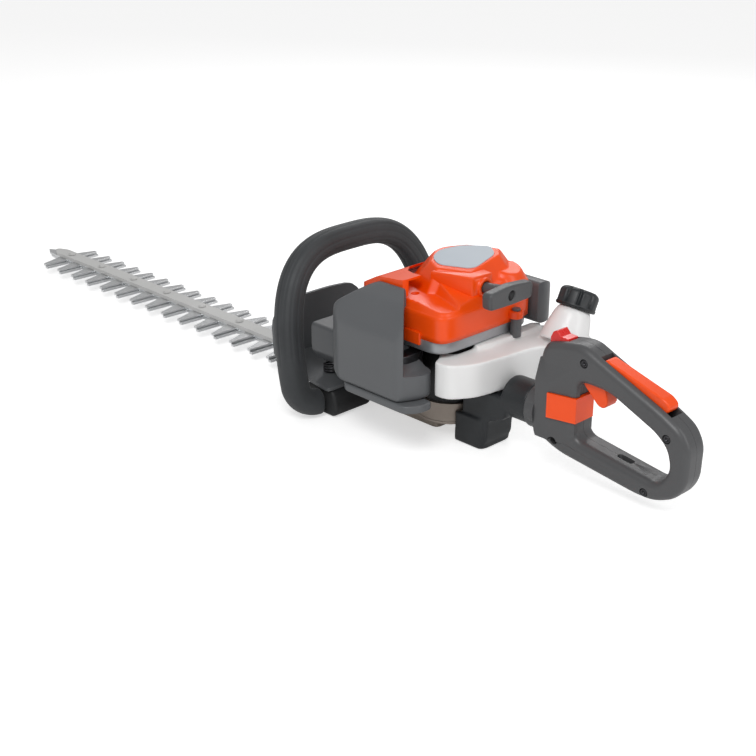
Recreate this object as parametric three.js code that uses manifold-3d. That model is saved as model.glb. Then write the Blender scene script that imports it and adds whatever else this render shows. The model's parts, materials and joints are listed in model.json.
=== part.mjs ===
// Petrol hedge trimmer with a double-sided reciprocating blade.
// Working frame, millimetres: X = 0, Y = 0 is the middle of the top cover, +X points to the blade tip,
// +Y to the machine's left, +Z up, and Z = 0 is the top face of the upper blade.
// The exported group is moved so that its origin is the bottom centre of the whole machine.
import * as THREE from "three";
import { mergeVertices } from "three/addons/utils/BufferGeometryUtils.js";
import Module from "manifold-3d";

const wasm = await Module();
wasm.setup();

// ---------- driving dimensions ----------
const GAP = 0.3; // running gap between neighbouring pieces
const FLOOR = -18; // the machine stands on this height

// cutting gear
const TOOTH_PITCH = 35;
const TOOTH_COUNT = 17; // on each side
const TOOTH_REACH = 34; // from the spine's edge to the tip
const TOOTH_ROOT = 17; // width at the spine
const TOOTH_TIP = 5; // width at the tip
const TOOTH_RAKE = 5; // the tip lies this far behind the root's middle
const SPINE_HALF = 8.5; // half width of a blade's spine
const BLADE_THICK = 3;
const BLADE_STAGGER = 4; // the lower blade's teeth stand this far behind the upper ones
const STROKE = 16;
const BAR_HALF = 9.5; // guide bar
const BAR_THICK = 4.8;
const BOLT_R = 3;
const BOLT_COUNT = 8;
const BOLTS_REAR = 215; // the rearmost bolt through the guide bar
const TEETH_REAR = 180; // the toothed stretch begins here

// drive
const MODULE = 1.5; // gear tooth module
const GEAR_TEETH = 38;
const PINION_TEETH = 10;
const GEAR_THICK = 7;
const ECCENTRIC_R = 8;
const CASE_WALL = 3;
const CASE_FLOOR = -13; // underside of the gear case
const CASE_SPLIT = 2; // joint between gear case and its bottom cover
const CASE_TOP = 22;

// engine
const CRANK_X = 8; // the vertical crank axis
const BORE = 35;
const CRANK_THROW = 11;
const ROD_LENGTH = 38;
const PISTON_Z = 71; // height of the cylinder's axis
const CRANKCASE_R = 34;
const FLYWHEEL_R = 38;
const FLYWHEEL_Z = 100;

// covers
const SHELL = 2.5; // moulded wall
const COVER_LEFT = 67; // reaches of the starter housing from its middle
const COVER_RIGHT = 74;
const COVER_REAR = 40;
const COVER_FRONT = 62;
const STRIP_Z = 92;
const COVER_Z = 105;
const DOME_Z = 173;

// front handle
const LOOP_HALF = 124; // outside half width
const LOOP_HEIGHT = 179; // outside height above the blade, along the leaning plane
const LOOP_TUBE = 30;
const LOOP_SQUARE = 3.15; // exponent of the loop's rounded-square arch
const LOOP_LEAN = THREE.MathUtils.degToRad(12);
const LOOP_X = 131;
const GUARD_X = 217;
const GUARD_TOP = 84;
const GUARD_HALF = 66;
const GUARD_THICK = 4;

// rear handle
const SWIVEL_Z = 45; // height of the handle's swivel axis
const SWIVEL_R = 23.5;
const SWIVEL_BORE = 9; // radius of the spindle that the handle turns on
const COLLAR_FRONT = -112; // the handle's round collar meets the bracket's tube here
const HANDLE_FRONT = -124;
const HANDLE_HALF = 16; // half width of the grip
const BLOCK_HALF = 21; // half width at the swivel
const HANDLE_WALL = 2.5;
const TRIGGER_HALF = 8.5;
const LOCKOUT_HALF = 8;
const LATCH_HALF = 12;

// tank
const CAP_R = 19.5;
const CAP_AT = [-86, -86, 118]; // centre of the cap's seat
const CAP_LEAN = THREE.MathUtils.degToRad(27);

// ---------- materials ----------
const paint = (color, roughness, metalness = 0) =>
  new THREE.MeshStandardMaterial({ color, roughness, metalness });
const STEEL = paint(0xb9bcbd, 0.35, 0.9);
const DARK_STEEL = paint(0x3a3c3e, 0.5, 0.7);
const CAST = paint(0x9c938b, 0.55, 0.7);
const ORANGE = paint(0xf04a10, 0.3);
const GREY = paint(0x6a6c6d, 0.5);
const DARK = paint(0x3c4042, 0.55);
const HANDLE_GREY = paint(0x5d5b59, 0.5);
const RUBBER = paint(0x2b2e30, 0.8);
const SILVER = paint(0x9aa1a5, 0.4, 0.3);
const TANK = paint(0xe8e8e8, 0.4);
const RED = paint(0xd8231f, 0.4);
const PAPER = paint(0xd9dde1, 0.4);

// ---------- solids ----------
const model = new THREE.Group();
const engine = new THREE.Group(); // its origin is on the crank axis
engine.position.x = CRANK_X;
model.add(engine);

function solid(geometry) {
  const bare = geometry.clone();
  bare.deleteAttribute("normal");
  bare.deleteAttribute("uv");
  const merged = mergeVertices(bare, 1e-3);
  return new wasm.Manifold(
    new wasm.Mesh({
      numProp: 3,
      vertProperties: new Float32Array(merged.attributes.position.array),
      triVerts: new Uint32Array(merged.index.array),
    }),
  );
}

function geometryOf(body) {
  const data = body.getMesh();
  const geometry = new THREE.BufferGeometry();
  geometry.setAttribute("position", new THREE.BufferAttribute(data.vertProperties, 3));
  geometry.setIndex(new THREE.BufferAttribute(data.triVerts, 1));
  return geometry;
}

const join = (...bodies) => bodies.reduce((all, body) => all.add(body));
const cut = (body, ...tools) => tools.reduce((left, tool) => left.subtract(tool), body);
const common = (...bodies) => bodies.reduce((all, body) => all.intersect(body));

function place(name, body, material, parent = model) {
  const mesh = new THREE.Mesh(geometryOf(body), material);
  mesh.name = name;
  parent.add(mesh);
  return mesh;
}

const box = (x, y, z) =>
  solid(
    new THREE.BoxGeometry(x[1] - x[0], y[1] - y[0], z[1] - z[0]).translate(
      (x[0] + x[1]) / 2,
      (y[0] + y[1]) / 2,
      (z[0] + z[1]) / 2,
    ),
  );

// A cylinder or cone along axis "x", "y" or "z" from lo to hi, centred on the other two coordinates.
function rod(axis, at, lo, hi, radius, sides = 12, endRadius = radius) {
  const geometry = new THREE.CylinderGeometry(endRadius, radius, hi - lo, sides);
  const middle = (lo + hi) / 2;
  if (axis === "z") geometry.rotateX(Math.PI / 2).translate(at[0], at[1], middle);
  if (axis === "x") geometry.rotateZ(-Math.PI / 2).translate(middle, at[0], at[1]);
  if (axis === "y") geometry.translate(at[0], middle, at[1]);
  return solid(geometry);
}

const ring = (axis, at, lo, hi, outer, inner, sides = 24) =>
  cut(rod(axis, at, lo, hi, outer, sides), rod(axis, at, lo - 1, hi + 1, inner, sides));

// All the space on one side of a plane, as a large block.
function beyond(point, normal) {
  const turn = new THREE.Quaternion().setFromUnitVectors(
    new THREE.Vector3(0, 0, 1),
    new THREE.Vector3(...normal).normalize(),
  );
  const block = new THREE.BoxGeometry(400, 400, 400).translate(0, 0, 200);
  return solid(block.applyQuaternion(turn).translate(...point));
}

// A shape whose corners are rounded by radius.
function outline(points, radius = 0) {
  const shape = new THREE.Shape();
  points.forEach((point, i) => {
    const here = new THREE.Vector2(...point);
    const before = new THREE.Vector2(...points.at(i - 1));
    const after = new THREE.Vector2(...points[(i + 1) % points.length]);
    const reach = Math.min(radius, here.distanceTo(before) * 0.45, here.distanceTo(after) * 0.45);
    const start = here.clone().lerp(before, reach / here.distanceTo(before));
    const end = here.clone().lerp(after, reach / here.distanceTo(after));
    if (i) shape.lineTo(start.x, start.y);
    else shape.moveTo(start.x, start.y);
    if (reach > 0.1) shape.quadraticCurveTo(here.x, here.y, end.x, end.y);
  });
  shape.closePath();
  return shape;
}

// A shape extruded along an axis: (x, y) along z, (x, z) along y or (y, z) along x.
function prism(axis, shape, lo, hi, curveSegments = 2) {
  const depth = hi - lo;
  const geometry = new THREE.ExtrudeGeometry(shape, { depth, bevelEnabled: false, curveSegments });
  if (axis === "z") geometry.translate(0, 0, lo);
  if (axis === "y") geometry.rotateX(Math.PI / 2).translate(0, hi, 0);
  if (axis === "x") {
    geometry.applyMatrix4(new THREE.Matrix4().set(0, 0, 1, lo, 1, 0, 0, 0, 0, 1, 0, 0, 0, 0, 0, 1));
  }
  return solid(geometry);
}

// A body lofted through closed rings of equal length, from the lowest to the highest.
function loft(rings) {
  const sides = rings[0].length;
  const points = rings.flat();
  const centre = (r) => r.reduce((sum, p) => sum.add(p), new THREE.Vector3()).divideScalar(sides);
  const faces = [];
  for (let level = 0; level + 1 < rings.length; level++) {
    for (let side = 0; side < sides; side++) {
      const next = (side + 1) % sides;
      const a = level * sides + side;
      const b = level * sides + next;
      faces.push(a, b, b + sides, a, b + sides, a + sides);
    }
  }
  const bottom = points.push(centre(rings[0])) - 1;
  const top = points.push(centre(rings.at(-1))) - 1;
  const last = (rings.length - 1) * sides;
  for (let side = 0; side < sides; side++) {
    const next = (side + 1) % sides;
    faces.push(bottom, next, side, top, last + side, last + next);
  }
  const geometry = new THREE.BufferGeometry().setFromPoints(points);
  geometry.setIndex(faces);
  return solid(geometry);
}

// A level ring: a rounded rectangle whose four reaches from (x, y) can differ.
function level(z, { x = 0, y = 0, front, rear, left, right, square = 4, sides = 24 }) {
  return Array.from({ length: sides }, (_, i) => {
    const turn = (2 * Math.PI * (i + 0.5)) / sides;
    const c = Math.cos(turn);
    const s = Math.sin(turn);
    const along = Math.abs(c) / (c > 0 ? front : rear);
    const across = Math.abs(s) / (s > 0 ? left : right);
    const r = (along ** square + across ** square) ** (-1 / square);
    return new THREE.Vector3(x + r * c, y + r * s, z);
  });
}

const inset = (section, wall) => ({
  ...section,
  front: section.front - wall,
  rear: section.rear - wall,
  left: section.left - wall,
  right: section.right - wall,
});

// A cover open at its underside: the levels' loft less the same loft one wall smaller.
function cover(levels, wall) {
  const outer = loft(levels.map(([z, section]) => level(z, section)));
  const inner = loft(
    levels.map(([z, section], i) => {
      const drop = i === 0 ? -1 : i === levels.length - 1 ? -wall : -wall * 0.5;
      return level(z + drop, inset(section, wall));
    }),
  );
  return cut(outer, inner);
}

// ---------- cutting gear ----------
const teethFront = TEETH_REAR + TOOTH_COUNT * TOOTH_PITCH;
const boltsFront = teethFront - 28;
const boltSpacing = (boltsFront - BOLTS_REAR) / (BOLT_COUNT - 1);
const gearX = (MODULE * (GEAR_TEETH + PINION_TEETH)) / 2; // from the crank axis
const yokeX = CRANK_X + gearX;
const yokeLong = ECCENTRIC_R + STROKE + 0.5; // half length of a yoke's window
const yokeWide = ECCENTRIC_R + STROKE / 2 + 0.5;
const yokeRib = 3.5;
const bladeRoot = yokeX + yokeLong + 1; // the blades' spines run back to the yokes
const boltX = (i) => boltsFront - i * boltSpacing;

function bladeSolid(z, stagger) {
  const points = [[bladeRoot, -SPINE_HALF]];
  const tooth = (i, side) => {
    const middle = TEETH_REAR + (i + 0.5) * TOOTH_PITCH - stagger;
    const edge = side * SPINE_HALF;
    const tip = side * (SPINE_HALF + TOOTH_REACH);
    return [
      [middle - TOOTH_ROOT / 2, edge],
      [middle - TOOTH_RAKE - TOOTH_TIP / 2, tip],
      [middle - TOOTH_RAKE + TOOTH_TIP / 2, tip],
      [middle + TOOTH_ROOT / 2, edge],
    ];
  };
  for (let i = 0; i < TOOTH_COUNT; i++) points.push(...tooth(i, -1));
  const nose = teethFront - stagger;
  points.push([nose, -SPINE_HALF], [nose + 22, -SPINE_HALF * 0.8]);
  points.push([nose + 34, 0], [nose + 22, SPINE_HALF * 0.8], [nose, SPINE_HALF]);
  for (let i = TOOTH_COUNT - 1; i >= 0; i--) points.push(...tooth(i, 1).reverse());
  points.push([bladeRoot, SPINE_HALF]);
  const strip = prism("z", outline(points), z, z + BLADE_THICK);
  const yoke = cut(
    box(
      [yokeX - yokeLong - yokeRib, yokeX + yokeLong + yokeRib],
      [-yokeWide - yokeRib, yokeWide + yokeRib],
      [z, z + BLADE_THICK],
    ),
    box([yokeX - yokeLong, yokeX + yokeLong], [-yokeWide, yokeWide], [z - 1, z + BLADE_THICK + 1]),
  );
  const slots = Array.from({ length: BOLT_COUNT }, (_, i) => {
    const reach = STROKE / 2 + BOLT_R + GAP;
    return box(
      [boltX(i) - reach, boltX(i) + reach],
      [-BOLT_R - GAP, BOLT_R + GAP],
      [z - 1, z + BLADE_THICK + 1],
    );
  });
  return cut(join(strip, yoke), ...slots);
}

const upperZ = -BLADE_THICK;
const lowerZ = upperZ - GAP - BLADE_THICK;
place("upper_blade", bladeSolid(upperZ, 0), STEEL);
place("lower_blade", bladeSolid(lowerZ, BLADE_STAGGER), STEEL);

const barRear = 104; // the guide bar is bolted to the gear case's nose
const barFront = teethFront + 12;
const barZ = GAP;
const barHole = (i) => rod("z", [boltX(i), 0], barZ - 1, barZ + BAR_THICK + 1, BOLT_R + GAP, 12);
place(
  "guide_bar",
  cut(
    prism(
      "z",
      outline(
        [
          [barRear, -BAR_HALF],
          [barFront - 14, -BAR_HALF],
          [barFront, -3],
          [barFront, 3],
          [barFront - 14, BAR_HALF],
          [barRear, BAR_HALF],
        ],
        3,
      ),
      barZ,
      barZ + BAR_THICK,
    ),
    ...Array.from({ length: BOLT_COUNT }, (_, i) => barHole(i)),
  ),
  STEEL,
);

// Each bolt: a head on the bar, a shank through both blades' slots and a nut underneath.
const headZ = barZ + BAR_THICK + GAP;
const nutZ = lowerZ - GAP;
for (let i = 0; i < BOLT_COUNT; i++) {
  const at = [boltX(i), 0];
  const bolt = join(
    rod("z", at, nutZ - 0.5, headZ + 0.5, BOLT_R, 12),
    rod("z", at, headZ, headZ + 3, BOLT_R + 2, 12, BOLT_R + 1),
    rod("z", at, nutZ - 3.5, nutZ, BOLT_R + 2.3, 6),
  );
  place(`blade_bolt_${i + 1}`, bolt, DARK_STEEL);
}

// ---------- drive ----------
function gearSolid(teeth, z, thick, hole, phase) {
  const pitchR = (MODULE * teeth) / 2;
  const root = pitchR - 1.15 * MODULE;
  const tip = pitchR + 0.8 * MODULE;
  const turn = (2 * Math.PI) / teeth;
  const points = [];
  for (let i = 0; i < teeth; i++) {
    const corner = (r, share) => {
      const angle = (i + phase + share) * turn;
      points.push([r * Math.cos(angle), r * Math.sin(angle)]);
    };
    corner(root, -0.27);
    corner(tip, -0.1);
    corner(tip, 0.1);
    corner(root, 0.27);
  }
  const body = prism("z", outline(points), z, z + thick);
  return hole ? cut(body, rod("z", [0, 0], z - 1, z + thick + 1, hole, 16)) : body;
}

const shaftR = 5;
const gearZ = 7;
const eccentric = (z, side) => {
  const at = [(side * STROKE) / 2, 0];
  return rod("z", at, z, z + BLADE_THICK, ECCENTRIC_R, 24);
};
const mainGear = join(
  gearSolid(GEAR_TEETH, gearZ, GEAR_THICK, 0, 0.5),
  rod("z", [0, 0], CASE_FLOOR + CASE_WALL + GAP, CASE_TOP - 4 - GAP, shaftR - 1, 16),
  eccentric(upperZ, 1),
  eccentric(lowerZ, -1),
);
place("main_gear", mainGear, DARK_STEEL, engine).position.x = gearX;

const drumZ = CASE_TOP + 3;
const drumR = 26; // clutch drum
place(
  "clutch_drum",
  join(
    gearSolid(PINION_TEETH, gearZ - 0.5, GEAR_THICK + 1, 0, 0),
    rod("z", [0, 0], gearZ, drumZ + 1, shaftR, 16),
    cut(
      rod("z", [0, 0], drumZ, drumZ + 16, drumR, 20),
      rod("z", [0, 0], drumZ + 2.5, drumZ + 17, drumR - 2.5, 20),
    ),
  ),
  DARK_STEEL,
  engine,
);

// The gear case is an upside-down pan over the gears, closed below by its cover.
const caseHalf = (MODULE * (GEAR_TEETH + 1.6)) / 2 + 1.3 + CASE_WALL;
const clutchR = caseHalf + 2; // its round rear end, under the clutch
const caseFront = gearX + caseHalf;
function casePlan(grow) {
  const points = [];
  const bend = Math.asin((caseHalf + grow) / (clutchR + grow));
  for (let i = 0; i <= 14; i++) {
    const turn = bend + (i / 14) * (2 * Math.PI - 2 * bend);
    points.push([(clutchR + grow) * Math.cos(turn), (clutchR + grow) * Math.sin(turn)]);
  }
  points.push([caseFront + grow - 14, -caseHalf - grow], [caseFront + grow, -caseHalf + 12]);
  points.push([caseFront + grow, caseHalf - 12], [caseFront + grow - 14, caseHalf + grow]);
  return outline(points);
}
place(
  "gear_case",
  cut(
    prism("z", casePlan(0), CASE_SPLIT, CASE_TOP),
    prism("z", casePlan(-CASE_WALL), CASE_SPLIT - 1, CASE_TOP - 4),
    rod("z", [0, 0], CASE_TOP - 5, CASE_TOP + 1, shaftR + 0.6, 20),
  ),
  CAST,
  engine,
);

const noseHalf = yokeWide + yokeRib + 1 + CASE_WALL; // half width round the blades' yokes
const noseRear = gearX - yokeLong - yokeRib - STROKE / 2 - 1 - CASE_WALL;
const noseFront = barRear - CRANK_X + 20;
const coverTop = CASE_SPLIT - GAP;
place(
  "gear_case_cover",
  cut(
    join(
      prism("z", casePlan(0), coverTop - 3, coverTop),
      prism(
        "z",
        outline(
          [
            [noseRear, -noseHalf],
            [noseFront - 12, -noseHalf],
            [noseFront, -noseHalf + 8],
            [noseFront, noseHalf - 8],
            [noseFront - 12, noseHalf],
            [noseRear, noseHalf],
          ],
          6,
        ),
        CASE_FLOOR,
        coverTop,
      ),
    ),
    box(
      [noseRear + CASE_WALL, barRear - CRANK_X - 6],
      [-noseHalf + CASE_WALL, noseHalf - CASE_WALL],
      [CASE_FLOOR + CASE_WALL, coverTop + 1],
    ),
    box([barRear - CRANK_X - 7, noseFront + 1], [-BAR_HALF - 1, BAR_HALF + 1], [lowerZ - 1, coverTop + 1]),
  ),
  CAST,
  engine,
);

// The crankcase stands on the gear case: a skirt round the clutch and a drum round the crank webs.
const crankFloor = 44;
const crankTop = 96;
const footHalf = [BORE / 2 + 6.5, BORE / 2 + 4.5]; // the joint between crankcase and cylinder
place(
  "crankcase",
  cut(
    join(
      rod("z", [0, 0], CASE_TOP + GAP, crankFloor + 1, clutchR - 3, 20),
      rod("z", [0, 0], crankFloor, crankTop, CRANKCASE_R, 20),
      box([10, 36], [-footHalf[0], footHalf[0]], [PISTON_Z - footHalf[1], PISTON_Z + footHalf[1]]),
    ),
    rod("z", [0, 0], CASE_TOP - 1, crankFloor - 1, drumR + 3, 20),
    rod("z", [0, 0], crankFloor + 3, crankTop - 4, CRANKCASE_R - 4, 20),
    rod("x", [0, PISTON_Z], 10, 40, BORE / 2 + 0.5, 20),
    rod("z", [0, 0], crankFloor - 3, crankTop + 1, 6.6, 20),
  ),
  CAST,
  engine,
);

const webR = CRANK_THROW + 6.5;
const rodZ = PISTON_Z - 3; // underside of the connecting rod
place(
  "crank_lower",
  join(
    rod("z", [0, 0], drumZ + 6, crankFloor + 8, 6, 16),
    rod("z", [0, 0], crankFloor + 7, rodZ - 8, webR, 24),
    rod("z", [CRANK_THROW, 0], rodZ - 9, rodZ - GAP, 5, 16),
  ),
  STEEL,
  engine,
);
place(
  "crank_upper",
  join(
    rod("z", [0, 0], PISTON_Z + 3 + GAP + 2, PISTON_Z + 12, webR, 24),
    rod("z", [0, 0], PISTON_Z + 11, FLYWHEEL_Z + 22, 6, 16),
  ),
  STEEL,
  engine,
);
place(
  "clutch_shoes",
  cut(
    rod("z", [0, 0], drumZ + 5, drumZ + 13, drumR - 4, 24),
    rod("z", [0, 0], drumZ + 4, drumZ + 14, 6 + GAP, 16),
    box([-2, 2], [-drumR, -10], [drumZ, drumZ + 20]),
    box([-2, 2], [10, drumR], [drumZ, drumZ + 20]),
  ),
  DARK_STEEL,
  engine,
);

const pistonX = CRANK_THROW + ROD_LENGTH;
const pistonCrown = pistonX + 12;
const skirtLength = 8; // the piston's skirt below its pin
place(
  "connecting_rod",
  cut(
    join(
      rod("z", [CRANK_THROW, 0], rodZ, rodZ + 6, 9, 20),
      box([CRANK_THROW + 6, pistonX - 3], [-4, 4], [rodZ + 1, rodZ + 5]),
      rod("z", [pistonX, 0], rodZ, rodZ + 6, 6.5, 16),
    ),
    rod("z", [CRANK_THROW, 0], rodZ - 1, rodZ + 7, 5.3, 20),
    rod("z", [pistonX, 0], rodZ - 1, rodZ + 7, 4.3, 16),
  ),
  STEEL,
  engine,
);
place(
  "piston",
  join(
    cut(
      rod("x", [0, PISTON_Z], pistonX - skirtLength, pistonCrown, BORE / 2, 20),
      rod("x", [0, PISTON_Z], pistonX - skirtLength - 1, pistonCrown - 4, BORE / 2 - 3, 20),
    ),
    rod("z", [pistonX, 0], PISTON_Z - BORE / 2 + 1.5, PISTON_Z + BORE / 2 - 1.5, 4, 12),
  ),
  SILVER,
  engine,
);

const cylinderFoot = 36 + GAP;
const headX = pistonCrown + 3;
const finCount = 5;
const finPitch = 6;
const finHalf = BORE / 2 + 7.5;
const bore = rod("x", [0, PISTON_Z], cylinderFoot - 1, headX, BORE / 2 + 0.4, 20);
const fins = Array.from({ length: finCount }, (_, i) =>
  box(
    [headX + 6 - 2 - i * finPitch, headX + 6 - i * finPitch],
    [-finHalf, finHalf],
    [PISTON_Z - finHalf, PISTON_Z + finHalf],
  ),
);
place(
  "cylinder",
  cut(
    join(
      rod("x", [0, PISTON_Z], cylinderFoot, headX + 5, BORE / 2 + 5, 20),
      box(
        [cylinderFoot, cylinderFoot + 4],
        [-footHalf[0], footHalf[0]],
        [PISTON_Z - footHalf[1], PISTON_Z + footHalf[1]],
      ),
      ...fins,
    ),
    bore,
    rod("x", [0, PISTON_Z], headX - 1, headX + 7, 5 + GAP, 16),
  ),
  CAST,
  engine,
);
place(
  "spark_plug",
  join(
    rod("x", [0, PISTON_Z], headX - 0.5, headX + 8, 5, 12),
    rod("x", [0, PISTON_Z], headX + 6 + GAP, headX + 11, 8, 6),
    rod("x", [0, PISTON_Z], headX + 10, headX + 22, 5, 12, 3.5),
  ),
  PAPER,
  engine,
);

const fanBlades = 9;
const blades = Array.from({ length: fanBlades }, (_, i) => {
  const turn = (2 * Math.PI * i) / fanBlades;
  return solid(
    new THREE.BoxGeometry(FLYWHEEL_R - 16, 2, 8)
      .translate((FLYWHEEL_R + 14) / 2, 0, FLYWHEEL_Z + 10)
      .rotateZ(turn),
  );
});
place(
  "flywheel",
  cut(
    join(
      rod("z", [0, 0], FLYWHEEL_Z, FLYWHEEL_Z + 7, FLYWHEEL_R, 24),
      rod("z", [0, 0], FLYWHEEL_Z + 6, FLYWHEEL_Z + 16, 13, 20),
      ...blades,
    ),
    rod("z", [0, 0], FLYWHEEL_Z - 1, FLYWHEEL_Z + 17, 6 + GAP, 16),
  ),
  CAST,
  engine,
);
place(
  "ignition_coil",
  box([FLYWHEEL_R + 2, FLYWHEEL_R + 12], [-14, 14], [FLYWHEEL_Z + 2, FLYWHEEL_Z + 17]),
  DARK,
  engine,
);

// ---------- exhaust side ----------
const mufflerY = finHalf + 11;
place(
  "muffler",
  join(
    prism(
      "z",
      outline(
        [
          [14, mufflerY],
          [74, mufflerY],
          [74, 90],
          [-8, 90],
          [-8, 60],
        ],
        8,
      ),
      50,
      STRIP_Z - 3,
    ),
    rod("y", [44, PISTON_Z], finHalf + 2 + GAP, mufflerY + 1, 9, 16),
  ),
  DARK_STEEL,
);

// A casing cut out by its plan and its end profile, with the same one wall smaller taken away.
const mufflerPlan = (wall) =>
  outline(
    [
      [-33 + wall, 69],
      [-33 + wall, 82 - wall],
      [-20 + wall, 104 - wall],
      [76 - wall, 104 - wall],
      [90 - wall, 88 - wall],
      [92 - wall, 69],
    ],
    5,
  );
const mufflerEnd = (wall) =>
  outline(
    [
      [68, 46 + wall],
      [104 - wall, 46 + wall],
      [104 - wall, 165],
      [68, 165],
    ],
    3,
  );
const mufflerForm = (wall) =>
  common(
    cut(
      prism("z", mufflerPlan(wall), 30, 170),
      beyond([40, 104 - wall, 114], [0, 1.74, 1]), // shoulder
      beyond([10, 62, 156 - wall], [0, 0.53, 1]), // sloping top
      beyond([88 - wall, 79, 125], [0.7, 0, 1]), // sloping front
    ),
    prism("x", mufflerEnd(wall), -50, 110),
  );
// Above the silver strip the cover's rear end runs aslant, and leaves the starter housing's side free.
const freeSide = common(
  beyond([12, COVER_LEFT, 0], [-1, -0.97, 0]),
  box([-60, 40], [60, 110], [STRIP_Z + 1, 170]),
);
place(
  "muffler_cover",
  join(
    cut(mufflerForm(0), mufflerForm(SHELL), freeSide, box([-20, 74], [60, 75], [52, 90])),
    prism(
      "z",
      outline(
        [
          [-37, 74],
          [-37, 92],
          [-27, 106],
          [60, 106],
          [74, 92],
          [74, 88],
          [-20, 88],
          [-20, 74],
        ],
        4,
      ),
      38,
      48,
    ),
  ),
  GREY,
);

// ---------- top covers ----------
const skirt = {
  front: COVER_FRONT,
  rear: COVER_REAR,
  left: COVER_LEFT,
  right: COVER_RIGHT,
  square: 5,
};
const shrink = (f, r, le, ri, square) => ({
  front: COVER_FRONT - f,
  rear: COVER_REAR - r,
  left: COVER_LEFT - le,
  right: COVER_RIGHT - ri,
  square,
});
const domeLevels = [
  [COVER_Z + GAP, skirt],
  [133, { ...skirt, rear: COVER_REAR + 1 }],
  [143, shrink(4, 1, 11, 1, 4)],
  [148, shrink(7, 12, 19, 5, 3.2)],
  [158, shrink(10, 16, 27, 14, 2.8)],
  [DOME_Z - 6, shrink(16, 18, 32, 27, 2.5)],
  [DOME_Z - 1.5, shrink(22, 19, 36, 34, 2.4)],
  [DOME_Z, shrink(26, 20, 38, 37, 2.4)],
];
const ropeZ = 150;
const ropeEnd = -COVER_REAR + 1; // the rope boss ends here
const lug = [-COVER_REAR - 6, -40];
const hub = rod("z", [CRANK_X, 0], 132, DOME_Z - 2, 5, 12);
place(
  "starter_housing",
  cut(
    join(
      cover(domeLevels, SHELL),
      hub,
      rod("x", [0, ropeZ], ropeEnd, -18, 10.5, 20),
      rod("z", lug, 110, 117, 7, 16),
      box([lug[0], -COVER_REAR + 2], [lug[1] - 6, lug[1] + 6], [110, 117]),
    ),
    rod("x", [0, ropeZ], ropeEnd - 1, -17, 6.5, 14),
    rod("z", lug, 109, 118, 2.4, 10),
  ),
  ORANGE,
);

// The front cover fits round the housing's front, and reaches back over its shoulders.
const frontForm = (wall) =>
  common(
    prism(
      "z",
      outline(
        [
          [16, -COVER_RIGHT + 6 + wall],
          [60, -COVER_RIGHT + 6 + wall],
          [88 - wall, -46],
          [88 - wall, 48],
          [74, COVER_LEFT - 2 - wall],
          [16, COVER_LEFT - 2 - wall],
        ],
        6,
      ),
      COVER_Z + GAP - (wall && 5),
      190,
    ),
    prism(
      "y",
      outline(
        [
          [10, 90],
          [84 - wall, 90],
          [88 - wall, 118],
          [78 - wall, 142 - wall],
          [52, 156 - wall],
          [10, 160 - wall],
        ],
        3,
      ),
      -90,
      90,
    ),
  );
const grownDome = loft(
  domeLevels.map(([z, section], i) => level(z - (i ? 0 : 5) + GAP, inset(section, -GAP))),
);
const sideTrim = box([0, 90], [60, 90], [COVER_Z - 9, 134]);
place("front_cover", cut(frontForm(0), frontForm(SHELL), grownDome, sideTrim), ORANGE);

// The silver frame under the covers is a ring, open in the middle for the engine.
const frameLevel = { ...skirt, front: 87, square: 6 };
place(
  "cover_frame",
  cut(
    loft([level(STRIP_Z, inset(frameLevel, 1.5)), level(STRIP_Z + 2, frameLevel), level(COVER_Z, frameLevel)]),
    loft([level(STRIP_Z - 1, inset(frameLevel, 6)), level(COVER_Z + 1, inset(frameLevel, 4))]),
    rod("z", lug, 80, 120, 7, 12),
  ),
  SILVER,
);
const labelPlan = { x: 3, y: -4, front: 20, rear: 20, left: 28, right: 31, square: 3, sides: 20 };
place(
  "label_plate",
  loft([level(DOME_Z + GAP, labelPlan), level(DOME_Z + GAP + 1, labelPlan)]),
  PAPER,
);

const lugBottom = 89;
place(
  "cover_screw",
  join(
    rod("z", lug, lugBottom + 1, 117.5, 2, 10),
    rod("z", lug, 117 + GAP, 120, 4.5, 12),
    rod("z", lug, lugBottom, 110 - GAP, 6, 12),
  ),
  GREY,
);

// ---------- starter ----------
place(
  "starter_reel",
  cut(
    join(
      rod("z", [0, 0], 140, 142, 24, 20),
      rod("z", [0, 0], 141, 151, 20, 20),
      rod("z", [0, 0], 150, 152, 24, 20),
    ),
    rod("z", [0, 0], 139, 153, 5 + GAP, 16),
  ),
  DARK,
  engine,
);
place("recoil_spring", ring("z", [0, 0], 154, 160, 19, 7, 24), DARK_STEEL, engine);
const gripX = ropeEnd - 26; // the T-handle's crossbar
const gripHalf = 27;
place(
  "starter_handle",
  join(
    prism(
      "x",
      outline(
        [
          [-gripHalf, ropeZ - 7],
          [gripHalf, ropeZ - 8],
          [gripHalf, ropeZ + 7],
          [-gripHalf, ropeZ + 8],
        ],
        6,
      ),
      gripX - 5,
      gripX + 5,
    ),
    rod("x", [0, ropeZ], gripX, -24, 5, 14),
  ),
  HANDLE_GREY,
);

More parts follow.
